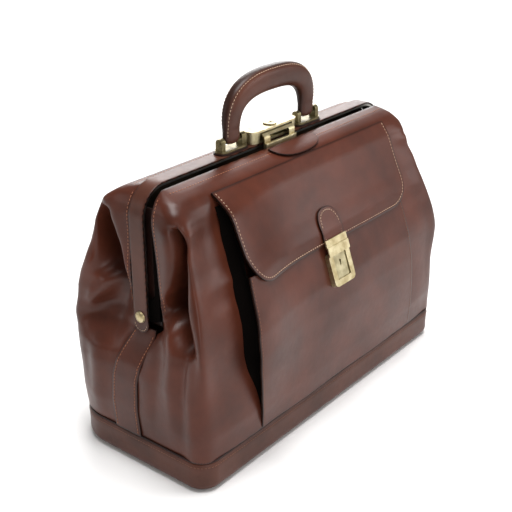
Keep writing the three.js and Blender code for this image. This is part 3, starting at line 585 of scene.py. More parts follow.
def wall_grid(sections, side, folds, rows=128, top_height=WALL_TOP):
    """The wall as a grid: at each height a curve from the left end seam round the bag to
    the right one, with the end's folds and a slow wave over the face, which dies away at
    the seams. side is -1 for the front half and 1 for the rear."""
    heights = np.concatenate([
        np.linspace(WALL_BOTTOM, CLOSE_FROM * top_height, rows - CLOSE_ROWS, endpoint=False),
        np.linspace(CLOSE_FROM * top_height, top_height, CLOSE_ROWS)])
    values = smooth_table(sections, heights, SECTION_REACH)
    top = np.clip((heights - SHARP_FROM) / SHARP_OVER, 0, 1)[:, None]
    table = np.array(sorted(sections)).T
    straight = np.stack([np.interp(heights, table[0], column) for column in table[1:]], 1)
    values = values * (1 - top) + straight * top
    middle = np.stack([np.zeros(len(heights)), values[:, 13]], 1)
    controls = np.concatenate([values.reshape(-1, 7, 2), middle[:, None]], 1)
    half = spline(controls, WALL_STEPS)
    x, y = half[..., 0], half[..., 1]
    z = np.broadcast_to(heights[:, None], x.shape)
    x = x + np.clip((x - END_FROM) / END_OVER, 0, 1) * folds(y, z)
    wave = WAVE * np.sin(x * 0.041 + z * 0.033 + side) * np.sin(z * 0.052 - x * 0.017)
    y = y + wave * np.clip((262 - z) / 20, 0, 1) * np.clip((z - 34) / 20, 0, 1)
    left = np.stack([-x, side * y, z], 2)
    right = np.stack([x, side * y, z], 2)[:, ::-1]
    return np.concatenate([left, right[:, 1:]], 1)


front_grid = wall_grid(FRONT_SECTIONS, -1, front_folds)
rear_grid = wall_grid(REAR_SECTIONS, 1, rear_folds)
HIDE_THICK, LINING_THICK = 2.2, 0.7
WALL_EDGE = 2.0


def wall(name, grid, replaced, thick, material, edge_mm=0.0):
    """One half's hide or lining, which runs from the base up to its frame half."""
    piece = hide_sheet(name, grid, thick, [BAG_MIDDLE], material, edge_mm)
    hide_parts(*replaced)
    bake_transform(piece)


wall("front_wall", front_grid, ["front_panel_lower", "front_panel_upper"],
     HIDE_THICK, BODY_HIDE, WALL_EDGE)
wall("rear_wall", rear_grid, ["rear_panel_lower", "rear_panel_upper"],
     HIDE_THICK, BODY_HIDE, WALL_EDGE)


# How far the lining lies inside the hide at each point of a section: x, then y.
LINING_INSET = [
    (-3.2, 0), (-3.2, 0), (-3.2, 0), (-2.2, 2.4), (-3.0, 2.4), (-4.5, -2.6), (-2, -3.4)]
# Up by the frame the fold is shallow, so there the lining keeps inside it by this much.
NEAR_FRAME, NEAR_FRAME_INSET = 247, -2.0
# Where the fold is deeper than this, the lining's next four points lie behind its back.
DEEP_FOLD = 12.0
FOLD_BACK = [(0, 0), (-1, 1), (-3, 1.5), (-6, 2.5)]
HIGHEST_SECTION = 262


def lining_sections(sections):
    """The hide's sections below the frame, each point moved in by the lining's inset. Where
    the hide is folded in, the lining spans the fold's back and stays out of the crest."""
    moved = []
    for row in sections:
        if row[0] > HIGHEST_SECTION:
            continue
        if row[3] - row[5] > DEEP_FOLD:
            back_x, back_y = row[5] - 10, row[6] - 5
            face_x = min(row[13] - 2, back_x - 45)
            points = [row[1] - 3.2, row[2], row[3] - 4, row[4] - 6]
            for dx, dy in FOLD_BACK:
                points += [back_x + dx, back_y + dy]
            points += [face_x, row[14] - 7]
        else:
            points = []
            for k, (dx, dy) in enumerate(LINING_INSET):
                inward = dy if dy < 0 or row[0] < NEAR_FRAME else NEAR_FRAME_INSET
                points += [row[1 + 2 * k] + dx, row[2 + 2 * k] + inward]
        moved.append((row[0], *points))
    return moved


# Cotton lining: olive brown, matt, with fine level threads.
lining_cotton, lining_shader = new_material("olive_cotton_lining", "#6b5b45", 0.9)
weave = add_node(
    lining_cotton, "ShaderNodeTexWave", {"bands_direction": "Z"},
    {"Scale": 320, "Distortion": 0.4}, {"Vector": object_place(lining_cotton)})
weave_tone = mixed_colour(lining_cotton, "#57493a", "#6f6049", weave.outputs["Fac"])
lining_cotton.node_tree.links.new(weave_tone, lining_shader.inputs["Base Color"])

LINING_TOP, LINING_ROWS = 258.0, 60
front_lining_grid = wall_grid(
    lining_sections(FRONT_SECTIONS), -1, front_folds, LINING_ROWS, LINING_TOP)
rear_lining_grid = wall_grid(
    lining_sections(REAR_SECTIONS), 1, rear_folds, LINING_ROWS, LINING_TOP)
wall("front_lining", front_lining_grid, ["front_lining_upper", "lining_lower"],
     LINING_THICK, lining_cotton)
wall("rear_lining", rear_lining_grid, ["rear_lining_upper"],
     LINING_THICK, lining_cotton)


def border_path(grid, normals, inset_mm, rows):
    """A line that runs a fixed distance in from the left border of the grid, with its
    normals: at each row, the point that far along the row."""
    path, out = [], []
    for r in rows:
        line = grid[r]
        reach = np.concatenate([[0], np.cumsum(np.linalg.norm(np.diff(line, axis=0), axis=1))])
        path.append([np.interp(inset_mm, reach, line[:, k]) for k in range(3)])
        out.append([np.interp(inset_mm, reach, normals[r, :, k]) for k in range(3)])
    return np.array(path), np.array(out)


def mirrored(values):
    """The same points on the right-hand side, walked the other way."""
    return values[::-1] * (-1, 1, 1)


# Where the frame seam runs: up the arms between two heights, this far in from the edge,
# and then across the top between the shoulders.
FRAME_SEAM = {"lowest": 166, "arm_top": 272.5, "inset": 2.9, "top": 274.6, "half_top": 172}


def frame_seam(name, grid):
    """The row of stitches that holds the hide to the frame: up the arm, round the shoulder
    and across the top."""
    normals = outward_normals(grid)
    height = grid[:, 0, 2]
    rows = np.where((height > FRAME_SEAM["lowest"]) & (height < FRAME_SEAM["arm_top"]))[0]
    path, out = border_path(grid, normals, FRAME_SEAM["inset"], rows)
    top = int(np.argmin(np.abs(height - FRAME_SEAM["top"])))
    across = np.where(np.abs(grid[top, :, 0]) < FRAME_SEAM["half_top"])[0]
    path = np.concatenate([path, grid[top, across], mirrored(path)])
    out = np.concatenate([out, normals[top, across], mirrored(out)])
    piece = stitch_row(name, path, out, RUST_THREAD, 3.5, 2.7, 0.4)
    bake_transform(piece)


frame_seam("front_frame_seam", front_grid)
frame_seam("rear_frame_seam", rear_grid)

# ---------------------------------------------------------------------------
# End straps: a strip of hide over the seam at each end, sewn down both edges,
# wider where it meets the frame's pivot.
# ---------------------------------------------------------------------------
STRAP_LINE = [  # height, middle, half width, distance out
    (33.8, 8, 17.0, 209.4), (64, 10, 17.0, 210.4), (92, 9, 16.5, 209.4), (108, 6, 16.0, 206.8),
    (120, 2, 15.5, 202.0), (130, -2, 15.0, 197.0), (138, -4, 14.0, 192.2), (144, -4, 12.5, 189.9)]
STRAP_SEAM_SHARE = 1 - 3.0 / 16
strap_heights = np.linspace(33.8, 144, 60)
strap_values = smooth_table(STRAP_LINE, strap_heights, 5)
strap_share = np.linspace(-1, 1, 19)
strap_crown = 1 - np.abs(strap_share) ** 6


def end_strap(name, side, cad_node):
    """A strip whose middle stands a little prouder than its sewn edges."""
    y = strap_values[:, :1] + strap_values[:, 1:2] * strap_share
    x = strap_values[:, 2:3] + 0.5 * strap_crown - 0.5
    z = np.broadcast_to(strap_heights[:, None], y.shape)
    grid = np.stack([side * x, y, z], 2)
    piece = hide_sheet(name, grid, 2.0, (side, 0, 0), BODY_HIDE, 1.6)
    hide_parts(cad_node)
    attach(piece, "lower_bag")
    for label, edge in (("front", -1), ("rear", 1)):
        share = edge * STRAP_SEAM_SHARE
        path = np.column_stack([
            side * (strap_values[:, 2] + 0.05),
            strap_values[:, 0] + strap_values[:, 1] * share, strap_heights])
        out = np.tile((side, 0, 0), (len(path), 1))
        row = stitch_row(f"{name}_stitches_{label}", path[1:-3], out[1:-3], RUST_THREAD, 3.4, 2.6, 0.4)
        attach(row, "lower_bag")


end_strap("end_strap_cover_left", -1, "end_strap_left")
end_strap("end_strap_cover_right", 1, "end_strap_right")

# ---------------------------------------------------------------------------
# Frame: two strip steel arches hinged on a rivet at each end. The rear arch is
# covered with a flat leather band that ends in a round tab over each pivot.
# ---------------------------------------------------------------------------
# Nickel plated strip: bright grey, finely brushed along its length.
plated_strip, strip_shader = new_material("nickel_plated_steel", "#8f8d88", 0.32, 1.0)
strip_stretch = add_node(
    plated_strip, "ShaderNodeMapping", inputs={"Scale": (60, 4000, 60)},
    links={"Vector": object_place(plated_strip)})
brushing = add_node(
    plated_strip, "ShaderNodeTexNoise", inputs={"Scale": 1.0, "Detail": 2},
    links={"Vector": strip_stretch.outputs["Vector"]})
strip_gloss = add_node(
    plated_strip, "ShaderNodeMapRange", inputs={"To Min": 0.26, "To Max": 0.42},
    links={"Value": brushing.outputs["Fac"]})
plated_strip.node_tree.links.new(strip_gloss.outputs["Result"], strip_shader.inputs["Roughness"])


def cast_metal(name, light, dark, roughness):
    """Cast and tumbled brass or bronze, lacquered: soft tarnish in clouds, darker in spots,
    with a faint sand texture from the mould."""
    material, shader = new_material(name, light, roughness, 1.0)
    place = object_place(material)
    cloud = add_node(
        material, "ShaderNodeTexNoise", inputs={"Scale": 90, "Detail": 5, "Roughness": 0.6},
        links={"Vector": place})
    spread = add_node(
        material, "ShaderNodeMapRange", inputs={"From Min": 0.35, "From Max": 0.7},
        links={"Value": cloud.outputs["Fac"]})
    tone = mixed_colour(material, light, dark, spread.outputs["Result"])
    sand = add_node(
        material, "ShaderNodeTexNoise", inputs={"Scale": 1500, "Detail": 1}, links={"Vector": place})
    relief = add_node(
        material, "ShaderNodeBump", inputs={"Strength": 0.25, "Distance": 0.03 * MM},
        links={"Height": sand.outputs["Fac"]})
    gloss = add_node(
        material, "ShaderNodeMapRange", inputs={"To Min": roughness - 0.05, "To Max": roughness + 0.12},
        links={"Value": cloud.outputs["Fac"]})
    link = material.node_tree.links.new
    link(tone, shader.inputs["Base Color"])
    link(relief.outputs["Normal"], shader.inputs["Normal"])
    link(gloss.outputs["Result"], shader.inputs["Roughness"])
    return material


PALE_BRASS = cast_metal("lacquered_pale_brass", "#d2c6a2", "#a3926a", 0.38)
GREY_BRASS = cast_metal("worn_grey_brass", "#c4ba98", "#8c8162", 0.36)
DARK_BRONZE = cast_metal("antique_dark_bronze", "#8f8464", "#4f472f", 0.38)
# The front frame bar is near-black: painted shade where it shows in the dark gap below the ears.
finish_nodes(PAINTED_SHADE_BLACK, "front_frame_bar")
finish_nodes(plated_strip, "rear_frame_bar", "pivot_washer_left",
             "pivot_washer_right", "tuck_lock_back_plate", "tuck_lock_hook", "lock_bolt")
finish_nodes(PALE_BRASS, "pivot_rivet_left", "pivot_rivet_right")

ARCH = {"half_width": 192.5, "top": 281.0, "corner": 30.0}
BAND = {"half": 8.5, "tab": 9.5, "tab_centre": 147.5, "thick": 1.7, "dip": 0.35}
arm_top = ARCH["top"] - ARCH["corner"]
shoulder_x = ARCH["half_width"] - ARCH["corner"]
tab_z = np.concatenate([BAND["tab_centre"] - BAND["tab"] * np.cos(np.linspace(0, math.pi / 2, 14)),
                        np.linspace(BAND["tab_centre"], arm_top, 32)[1:]])
bend_angle = np.linspace(0, math.pi / 2, 18)[1:]
arm_path = np.column_stack([np.full(len(tab_z), -ARCH["half_width"]), tab_z])
bend_path = np.column_stack([-shoulder_x - ARCH["corner"] * np.cos(bend_angle),
                             arm_top + ARCH["corner"] * np.sin(bend_angle)])
top_path = np.column_stack([np.linspace(-shoulder_x, 0, 24)[1:], np.full(23, ARCH["top"])])
half_path = np.concatenate([arm_path, bend_path, top_path])
arch_path = np.concatenate([half_path, half_path[-2::-1] * (-1, 1)])
arch_tangent = np.gradient(arch_path, axis=0)
arch_tangent /= np.linalg.norm(arch_tangent, axis=1)[:, None]
arch_out = np.column_stack([-arch_tangent[:, 1], arch_tangent[:, 0]])
low = BAND["tab_centre"] - arch_path[:, 1]
round_half = np.sqrt(np.clip(BAND["tab"] ** 2 - np.clip(low, -99, None) ** 2, 0.02, None))
near_tab = np.clip((arch_path[:, 1] - BAND["tab_centre"]) / 12.0, 0, 1)
near_tab = near_tab * near_tab * (3 - 2 * near_tab)
band_half = np.where(low > 0, round_half, BAND["tab"] * (1 - near_tab) + BAND["half"] * near_tab)
section = np.linspace(-1, 1, 21)
crown = BAND["dip"] * (np.abs(section) ** 8)


def arch_surface(share, lift):
    """Points across the band: share is -1 to 1 over its width, lift is its height outwards."""
    y = band_half[:, None] * share[None]
    flat = arch_path[:, None] + arch_out[:, None] * lift[None, :, None]
    return np.stack([flat[..., 0], y, flat[..., 1]], 2)


band_surface = arch_surface(section, -crown)
band_cover = hide_sheet(
    "frame_band_cover", band_surface, BAND["thick"], [BAG_MIDDLE], TRIM_HIDE, 1.3)
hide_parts("frame_band")
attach(band_cover, "rear_frame")
TAB_STITCH_RADIUS = 7.6
tab_angle = np.linspace(math.radians(185), math.radians(355), 26)
for label, side in (("left", -1), ("right", 1)):
    ring = np.column_stack([
        np.full(len(tab_angle), side * (ARCH["half_width"] + 0.05)),
        TAB_STITCH_RADIUS * np.cos(tab_angle),
        BAND["tab_centre"] + TAB_STITCH_RADIUS * np.sin(tab_angle)])
    tab_row = stitch_row(f"tab_stitches_{label}", ring, np.tile((side, 0, 0), (len(ring), 1)),
                         TAN_THREAD, 2.6, 1.9, 0.36)
    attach(tab_row, "rear_frame")

# Dark strips sewn to the rear arch inside its arms close the gap between the two halves
# of the frame: painted shade, dark sheets that stand in for the shade inside that gap.
ARM_SHADE_STRIP = {"x": 183.5, "back": -1.5, "front": -19.0, "bottom": 146.0, "top": 262.0}
ARM_SEAM = {"y": -14.5, "margin": 6.0}
strip_y = np.linspace(ARM_SHADE_STRIP["back"], ARM_SHADE_STRIP["front"], 8)
strip_z = np.linspace(ARM_SHADE_STRIP["bottom"], ARM_SHADE_STRIP["top"], 40)
arm_seam_z = np.linspace(
    ARM_SHADE_STRIP["bottom"] + ARM_SEAM["margin"], ARM_SHADE_STRIP["top"] - ARM_SEAM["margin"], 60)
for side_name, side_sign in (("left", -1), ("right", 1)):
    strip_x = side_sign * ARM_SHADE_STRIP["x"]
    shade_strip_grid = np.stack([
        np.full((40, 8), strip_x),
        np.broadcast_to(strip_y, (40, 8)),
        np.broadcast_to(strip_z[:, None], (40, 8))], 2)
    arm_shade_strip = hide_sheet(f"arm_strip_{side_name}", shade_strip_grid, 1.0, (side_sign, 0, 0), EDGE_STAIN_AND_SHADE_HIDE)
    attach(arm_shade_strip, "rear_frame")
    seam_line = np.column_stack([np.full(60, strip_x), np.full(60, ARM_SEAM["y"]), arm_seam_z])
    strip_row = stitch_row(f"arm_strip_stitches_{side_name}", seam_line,
                           np.tile((side_sign, 0, 0), (60, 1)), BROWN_THREAD, 3.5, 2.7, 0.4)
    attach(strip_row, "rear_frame")

# ---------------------------------------------------------------------------
# Handle: two cast brackets on thin leather pads, steel pins, and a padded grip of
# saddle leather: arched, thinner at its feet, where the pins pass, and sewn near
# the outer edge of each face.
# ---------------------------------------------------------------------------
finish_nodes(DARK_BRONZE, "handle_bracket_left", "handle_bracket_right",
             "handle_pin_left", "handle_pin_right")
finish_nodes(EDGE_STAIN_AND_SHADE_HIDE, "bracket_pad_left", "bracket_pad_right")

GRIP = {"half_span": 60.0, "foot": 303.0, "rise": 38.5, "power": 2 / 2.7, "end": 288.4}
sweep = np.linspace(0, math.pi, 91)
arch_x = -GRIP["half_span"] * np.sign(np.cos(sweep)) * np.abs(np.cos(sweep)) ** GRIP["power"]
arch_z = GRIP["foot"] + GRIP["rise"] * np.abs(np.sin(sweep)) ** GRIP["power"]
leg = np.linspace(GRIP["end"], GRIP["foot"], 13)[:-1]
grip_path = np.concatenate([
    np.column_stack([np.full(len(leg), -GRIP["half_span"]), leg]),
    np.column_stack([arch_x, arch_z]),
    np.column_stack([np.full(len(leg), GRIP["half_span"]), leg[::-1]])])
grip_steps = np.linalg.norm(np.diff(grip_path, axis=0), axis=1)
grip_along = np.concatenate([[0], np.cumsum(grip_steps)])
even = np.linspace(0, grip_along[-1], 150)
grip_path = np.stack([np.interp(even, grip_along, grip_path[:, k]) for k in range(2)], 1)
kernel = np.ones(5) / 5
for k in range(2):
    grip_path[:, k] = np.convolve(np.pad(grip_path[:, k], 2, "edge"), kernel, "valid")
grip_tangent = np.gradient(grip_path, axis=0)
grip_tangent /= np.linalg.norm(grip_tangent, axis=1)[:, None]
grip_out = np.column_stack([-grip_tangent[:, 1], grip_tangent[:, 0]])
risen = np.clip((grip_path[:, 1] - GRIP["foot"]) / GRIP["rise"], 0, 1)
foot_share = np.clip((grip_path[:, 1] - GRIP["end"]) / 6.0, 0, 1)
foot_round = np.sqrt(np.clip(1 - (1 - foot_share) ** 2, 0.0, 1))
radial_half = (10.9 + 1.6 * risen) * (0.35 + 0.65 * foot_round)
depth_half = (4.9 + 4.4 * risen ** 0.7) * (0.55 + 0.45 * foot_round)
around = np.arange(40) / 40 * 2 * math.pi
# The grip's section is an oval squared off a little: this is its superellipse's power.
SQUARENESS = 2.5
ring_out = np.sign(np.cos(around)) * np.abs(np.cos(around)) ** (2 / SQUARENESS)
ring_deep = np.sign(np.sin(around)) * np.abs(np.sin(around)) ** (2 / SQUARENESS)
SEAM_SHARE = 0.8
seam_groove = 0.05 * np.exp(-((np.abs(ring_out) - SEAM_SHARE) / 0.09) ** 2)
ring_deep = ring_deep * (1 - seam_groove)


def grip_points(out_share, deep_share):
    """Points round the grip: out_share along the arch's outward side, deep_share along Y."""
    reach = radial_half[:, None] * out_share[None]
    x = grip_path[:, :1] + grip_out[:, :1] * reach
    z = grip_path[:, 1:] + grip_out[:, 1:] * reach
    y = depth_half[:, None] * deep_share[None]
    return np.stack([x, y, z], 2)


grip_rings = grip_points(ring_out, ring_deep)
spine = np.column_stack([grip_path[:, 0], np.zeros(len(grip_path)), grip_path[:, 1]])
grip_faces = facing(
    grip_rings, grid_faces(len(grip_rings), len(around), True),
    [np.repeat(spine[:-1], len(around), 0)])
# Each end is closed by a fan of triangles round the middle of its ring.
count = grip_rings.shape[0] * grip_rings.shape[1]
grip_verts = np.concatenate([
    grip_rings.reshape(-1, 3), [grip_rings[0].mean(0), grip_rings[-1].mean(0)]])
ring_index = np.arange(len(around))
next_index = (ring_index + 1) % len(around)
last_ring = count - len(around)
first_cap = np.stack([np.full(len(around), count), ring_index, next_index], 1)
last_cap = np.stack(
    [np.full(len(around), count + 1), last_ring + next_index, last_ring + ring_index], 1)
fan_normal = np.cross(grip_verts[1] - grip_verts[count], grip_verts[2] - grip_verts[count])
if fan_normal[2] > 0:
    first_cap, last_cap = first_cap[:, ::-1], last_cap[:, ::-1]
grip = mesh_piece("handle_grip_leather", grip_verts,
                  grip_faces.tolist() + first_cap.tolist() + last_cap.tolist(), TRIM_HIDE)
# The stain on the grip's two rims: where it starts, over what width, and how dark.
RIM_STAIN = {"from": 0.78, "over": 0.2, "most": 0.75}
rim_shade = RIM_STAIN["most"] * np.clip(
    (np.abs(ring_out) - RIM_STAIN["from"]) / RIM_STAIN["over"], 0, 1)
grip_edge = grip.data.attributes.new("edge", "FLOAT", "POINT")
grip_edge.data.foreach_set(
    "value", np.concatenate([np.tile(rim_shade, len(grip_rings)), [1, 1]]).astype(np.float32))
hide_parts("handle_grip")
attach(grip, "handle")
# The stitches lie on the section at the seam's share, pulled in a little by the thread.
PULLED_IN = 0.965
seam_deep = (1 - SEAM_SHARE ** SQUARENESS) ** (1 / SQUARENESS) * PULLED_IN
for face_label, face_side in (("front", -1), ("rear", 1)):
    line = grip_points(np.array([SEAM_SHARE]), np.array([face_side * seam_deep]))[6:-6, 0]
    row = stitch_row(f"grip_stitches_{face_label}_outer", line,
                     np.tile((0, face_side, 0), (len(line), 1)), TAN_THREAD, 3.5, 2.7, 0.42)
    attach(row, "handle")

# ---------------------------------------------------------------------------
# Frame lock: a brass case on the frame with a keyed barrel in a raised rose, and
# a curved hasp plate that comes up from the front half.
# ---------------------------------------------------------------------------
finish_nodes(PALE_BRASS, "lock_lid", "lock_escutcheon", "hasp")
finish_nodes(GREY_BRASS, "lock_case", "lock_barrel")

# The hasp's lower bar, which lies along the top of the front half.
HASP_BAR = {"half": 24.5, "bottom": 274.0, "top": 281.6, "front": -15.9}
bar_x = np.linspace(-HASP_BAR["half"], HASP_BAR["half"], 12)
bar_z = np.linspace(HASP_BAR["bottom"], HASP_BAR["top"], 6)
bar_grid = np.stack([
    np.broadcast_to(bar_x, (6, 12)),
    np.full((6, 12), HASP_BAR["front"]),
    np.broadcast_to(bar_z[:, None], (6, 12))], 2)
hasp_bar = hide_sheet("hasp_bar", bar_grid, 2.6, (0, -1, 0), PALE_BRASS)
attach(hasp_bar, "front_frame")

# ---------------------------------------------------------------------------
# Front pocket: a sheet of hide sewn to the wall at the bottom, with folded
# sides that let it stand away from the bag towards its top; the sides are near-black, painted shade.
# ---------------------------------------------------------------------------
# How far out the front wall's crest lies at each height: there the folded sides begin.
CREST_DEPTH = [(row[0], row[12]) for row in FRONT_SECTIONS]
POCKET_DEPTH = [(35.4, 91.3), (60, 93.9), (100, 95.6), (125, 95.2), (150, 92.4), (170, 86.0),
                (191, 78.0), (200, 75.0)]
# The pocket's side edges: height, left, right. They lean, as the leather hangs.
POCKET_EDGES = [
    (35, -124.5, 149), (70, -134, 146), (108, -142, 140), (146, -145, 135.5),
    (175, -142, 135), (200, -138.5, 135), (216, -136, 137), (262, -135.5, 141)]
# The left edge's puff: how far it stands away, where across the bag and over what width,
# from what height and over what rise, and where and over what drop it ends.
PUFF = {"most": 12.0, "x": -141, "width": 52, "bottom": 36, "rise": 125, "top": 269, "drop": 24}
POCKET_CROWN = 0.4


def depth_at(table, heights):
    """A table's value at each height: a face's distance from the bag's middle plane, or the
    x of an edge, averaged over a short reach."""
    return smooth_table(table, np.ravel(heights), 5)[:, 0].reshape(np.shape(heights))


def pocket_edge(side, heights):
    """Where the pocket's edge runs on one side, from left to right across the bag."""
    return depth_at([(row[0], row[1 if side < 0 else 2]) for row in POCKET_EDGES], heights)


def puff(x, z):
    """How far the left edge of the pocket and the flap stands away: a hill across the bag,
    times a rise from the base seam, times a fall to nothing at the flap's sewn top."""
    rise_share = np.clip((z - PUFF["bottom"]) / PUFF["rise"], 0, 1) ** 0.8
    fall = np.clip((PUFF["top"] - z) / PUFF["drop"], 0, 1)
    return PUFF["most"] * bump(x - PUFF["x"], PUFF["width"]) * rise_share * (1 - (1 - fall) ** 2)


pocket_heights = np.linspace(35.0, 199.6, 84)
across = np.linspace(-1, 1, 121)
left_edge, right_edge = (pocket_edge(side, pocket_heights)[:, None] for side in (-1, 1))
pocket_x = left_edge + (across + 1) / 2 * (right_edge - left_edge)
pocket_z = np.broadcast_to(pocket_heights[:, None], pocket_x.shape)
ripple = 0.5 * np.sin(pocket_x * 0.05 + 1.0) * np.sin(pocket_z * 0.04)
pocket_y = -depth_at(POCKET_DEPTH, pocket_heights)[:, None] - POCKET_CROWN * (1 - across ** 4)
pocket_y = pocket_y + ripple * np.clip((190 - pocket_z) / 30, 0, 1) - puff(pocket_x, pocket_z)
pocket_grid = np.stack([pocket_x, pocket_y, pocket_z], 2)
pocket_skin = hide_sheet("pocket_skin", pocket_grid, 2.2, (0, -1, 0), BODY_HIDE, 1.4)
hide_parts("pocket_panel")
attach(pocket_skin, "pocket")


def pocket_row(name, column):
    """The stitches that hold a folded side to the pocket's edge."""
    line = pocket_grid[2:-1, column]
    out = np.tile((0, -1, 0), (len(line), 1))
    row = stitch_row(name, line, out, BROWN_THREAD, 3.4, 2.5, 0.36)
    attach(row, "pocket")


pocket_row("pocket_stitches_left", 1)
pocket_row("pocket_stitches_right", -2)


# How far out the folded sides reach: to the pocket, and above it to the flap.
SIDE_DEPTH = POCKET_DEPTH[:-2] + [
    (191, 76), (200, 73), (205, 71), (215, 66.5), (227, 61), (236, 56.5), (246, 52), (258, 47.5)]
SIDE_BULGE, SIDE_LEAN = 5.0, 6.0


def pocket_side(name, side, heights, body, cad_node=None, inset=0.0):
    """A folded side: it runs from the wall out to the pocket's or the flap's edge, leaning
    outwards at its foot, and is pushed inwards along its middle."""
    wall_y = depth_at(CREST_DEPTH, heights) - 1.0
    outer_x = pocket_edge(side, heights) - 1.2 * side
    edge_y = depth_at(SIDE_DEPTH, heights) - 2.4 - inset + puff(outer_x, heights)
    edge_y = np.maximum(edge_y, wall_y + 0.4)
    share = np.linspace(0, 1, 15)
    y = -(wall_y[:, None] * (1 - share) + edge_y[:, None] * share)
    depth = np.clip((edge_y - wall_y)[:, None] / 12, 0, 1)
    foot_shift = side * SIDE_LEAN * (1 - share) * depth
    x = outer_x[:, None] + foot_shift - side * SIDE_BULGE * np.sin(share * math.pi) * depth
    grid = np.stack([x, y, np.broadcast_to(heights[:, None], y.shape)], 2)
    # The side is near-black: painted shade for the dark gap between the pocket's edge and the wall.
    piece = hide_sheet(name, grid, 0.9, (side, 0, 0), PAINTED_SHADE_BLACK)
    if cad_node:
        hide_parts(cad_node)
    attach(piece, body)


LOWER_SIDE = np.linspace(37, 199, 70)
# The right side stops lower, under the flap's bend, where nothing shows it.
for side_name, side_sign, side_top in (("left", -1, 258), ("right", 1, 228)):
    pocket_side(f"pocket_side_{side_name}", side_sign, LOWER_SIDE, "pocket",
                f"pocket_gusset_{side_name}")
    pocket_side(f"pocket_side_top_{side_name}", side_sign,
                np.linspace(198, side_top, 30), "front_frame", inset=1.5)

# ---------------------------------------------------------------------------
# Flap: a sheet of hide sewn to the front half at its top edge, with round lower
# corners and a tan row of stitches; a sewn tongue holds the tuck lock's plate.
# ---------------------------------------------------------------------------
FLAP = {"middle": 6.0, "half": 142.0, "top": 269.5, "bottom": 187.0, "corner": 33.0}
FLAP_DEPTH = [(187, 82.2), (193, 80.4), (200, 78.5), (209, 73.6), (217, 68.6), (227, 63.7),
              (236, 59.6), (246, 55.4), (255, 51.6), (262, 46.4), (268, 42.0), (272, 38.4)]
# A slow wave across the flap, full at its hem and gone at this height.
FLAP_WAVE = {"most": 0.3, "top": 262, "fade": 30}


def flap_border(x):
    """The height of the flap's lower edge: straight, with a quarter circle at each corner."""
    from_middle = np.abs(x - FLAP["middle"])
    beyond = np.clip(from_middle - (FLAP["half"] - FLAP["corner"]), 0, FLAP["corner"])
    return FLAP["bottom"] + FLAP["corner"] - np.sqrt(FLAP["corner"] ** 2 - beyond ** 2)


turn = np.linspace(0, math.pi / 2, 22)
corner_x = FLAP["half"] - FLAP["corner"] + FLAP["corner"] * np.sin(turn)
straight_x = np.linspace(0, FLAP["half"] - FLAP["corner"], 36)[:-1]
half_x = np.concatenate([straight_x, corner_x])
flap_x = FLAP["middle"] + np.concatenate([-half_x[:0:-1], half_x])
drop = np.linspace(0, 1, 46)
flap_z = FLAP["top"] + (flap_border(flap_x)[None] - FLAP["top"]) * drop[:, None]
wave_share = np.clip((FLAP_WAVE["top"] - flap_z) / FLAP_WAVE["fade"], 0, 1) ** 2
flap_wave = FLAP_WAVE["most"] * np.sin(flap_x * 0.03)[None] * wave_share
flap_y = -depth_at(FLAP_DEPTH, flap_z) - flap_wave - puff(flap_x[None], flap_z)
flap_grid = np.stack([np.broadcast_to(flap_x, flap_z.shape), flap_y, flap_z], 2)
flap = hide_sheet("pocket_flap_skin", flap_grid, 2.2, (0, -1, 0.3), BODY_HIDE, 1.8)
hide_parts("flap_fold", "pocket_flap")
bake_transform(flap)

FLAP_SEAM = 3.0
seam_turn = np.linspace(math.pi / 2, 0, 30)
seam_radius = FLAP["corner"] - FLAP_SEAM
turn_x = FLAP["half"] - FLAP["corner"]
turn_z = FLAP["bottom"] + FLAP["corner"]
side_z = np.linspace(FLAP["top"] - 1, turn_z, 40)[:-1]
left_x = np.concatenate([
    np.full(len(side_z), -(FLAP["half"] - FLAP_SEAM)),
    -turn_x - seam_radius * np.sin(seam_turn),
    np.linspace(-turn_x, 0, 40)[1:]])
left_z = np.concatenate([
    side_z,
    turn_z - seam_radius * np.cos(seam_turn),
    np.full(39, FLAP["bottom"] + FLAP_SEAM)])
seam_x = FLAP["middle"] + np.concatenate([left_x, -left_x[-2::-1]])
seam_z = np.concatenate([left_z, left_z[-2::-1]])
seam_y = -depth_at(FLAP_DEPTH, seam_z) - 0.1 - puff(seam_x, seam_z)
slope = depth_at(FLAP_DEPTH, seam_z + 0.5) - depth_at(FLAP_DEPTH, seam_z - 0.5)
seam_out = np.column_stack([np.zeros(len(seam_z)), -np.ones(len(seam_z)), -slope])
flap_row = stitch_row("flap_stitches", np.column_stack([seam_x, seam_y, seam_z]), seam_out,
                      TAN_THREAD, 3.6, 2.3, 0.46)
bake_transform(flap_row)

TONGUE = {"half": 17.0, "top": 221.0, "bottom": 191.0, "corner": 14.0}
# The tongue's seam: how much narrower than the tongue, how far below its top, how much
# less its corners fall, and how far above its bottom it ends.
TONGUE_SEAM = {"share": 0.8, "below": 3.0, "tighter": 2, "end": 1}
tongue_share = np.sin(np.linspace(-math.pi / 2, math.pi / 2, 31))
tongue_x = TONGUE["half"] * tongue_share
shoulder_fall = 1 - np.sqrt(np.clip(1 - np.abs(tongue_share) ** 2.4, 0, 1))
tongue_top = TONGUE["top"] - TONGUE["corner"] * shoulder_fall
tongue_drop = np.linspace(0, 1, 20)
tongue_z = tongue_top[None] + (TONGUE["bottom"] - tongue_top[None]) * tongue_drop[:, None]
tongue_y = -depth_at(FLAP_DEPTH, tongue_z) - 2.4
tongue_grid = np.stack([np.broadcast_to(tongue_x, tongue_z.shape), tongue_y, tongue_z], 2)
tongue = hide_sheet("flap_tongue", tongue_grid, 2.0, (0, -1, 0.3), BODY_HIDE, 1.6)
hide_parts("flap_strap")
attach(tongue, "flap")
tongue_seam_half = TONGUE["half"] * TONGUE_SEAM["share"]
tongue_seam_x = np.concatenate([
    [-tongue_seam_half], tongue_x * TONGUE_SEAM["share"], [tongue_seam_half]])
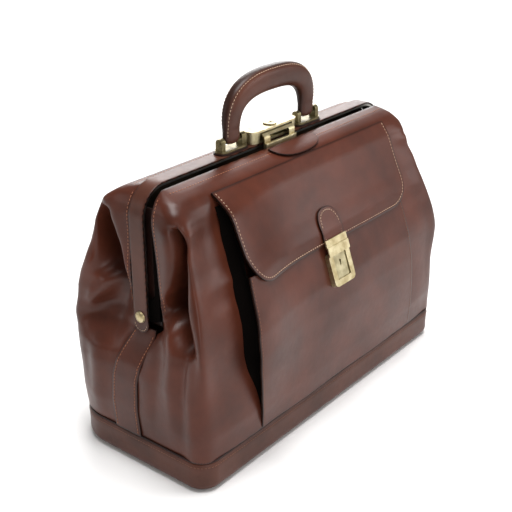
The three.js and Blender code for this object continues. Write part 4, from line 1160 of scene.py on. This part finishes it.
tongue_seam_top = TONGUE["top"] - TONGUE_SEAM["below"] - (
    TONGUE["corner"] - TONGUE_SEAM["tighter"]) * shoulder_fall
tongue_seam_end = [TONGUE["bottom"] + TONGUE_SEAM["end"]]
tongue_seam_z = np.concatenate([tongue_seam_end, tongue_seam_top, tongue_seam_end])
tongue_seam_y = -depth_at(FLAP_DEPTH, tongue_seam_z) - 2.5
tongue_line = np.column_stack([tongue_seam_x, tongue_seam_y, tongue_seam_z])
tongue_out = np.tile((0, -0.93, 0.36), (len(tongue_line), 1))
tongue_row = stitch_row(
    "tongue_stitches", tongue_line, tongue_out, TAN_THREAD, 3.1, 2.3, 0.4)
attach(tongue_row, "flap")

# ---------------------------------------------------------------------------
# Pull tab: a half moon of hide that lies over the top edge of the front half, a
# finger hold for opening the bag.
# ---------------------------------------------------------------------------
PULL_TAB = {"middle": 8.0, "half": 36.0, "top": 276.4, "drop": 7.0}
# How far out the tab lies at each height, over the hide's turn towards the frame.
SHOULDER = [(255, 46.8), (262, 43.8), (266, 41.2), (270, 38.5), (274, 28), (277, 15.2), (280, 12)]
tab_share = np.sin(np.linspace(-math.pi / 2, math.pi / 2, 41))
tab_x = PULL_TAB["middle"] + PULL_TAB["half"] * tab_share
tab_fall = np.sqrt(np.clip(1 - tab_share ** 2 * 0.995, 0, 1))
tab_low = PULL_TAB["top"] - 0.4 - PULL_TAB["drop"] * tab_fall
tab_drop = np.linspace(0, 1, 18)
tab_rows = PULL_TAB["top"] + (tab_low[None] - PULL_TAB["top"]) * tab_drop[:, None]
tab_y = -depth_at(SHOULDER, tab_rows) - 1.2
tab_grid = np.stack([np.broadcast_to(tab_x, tab_rows.shape), tab_y, tab_rows + 2.3], 2)
pull_tab = hide_sheet("pull_tab_skin", tab_grid, 2.0, (0, -1, 1), BODY_HIDE, 1.6)
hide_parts("pull_tab")
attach(pull_tab, "front_frame")

# ---------------------------------------------------------------------------
# Tuck lock: a cast brass case on the pocket with a sprung keyhole slide, and a
# plate on the flap's tongue whose hook snaps behind the slide. No lettering.
# ---------------------------------------------------------------------------
finish_nodes(PALE_BRASS, "tuck_lock_case", "tuck_lock_plate")
finish_nodes(GREY_BRASS, "tuck_lock_slide")
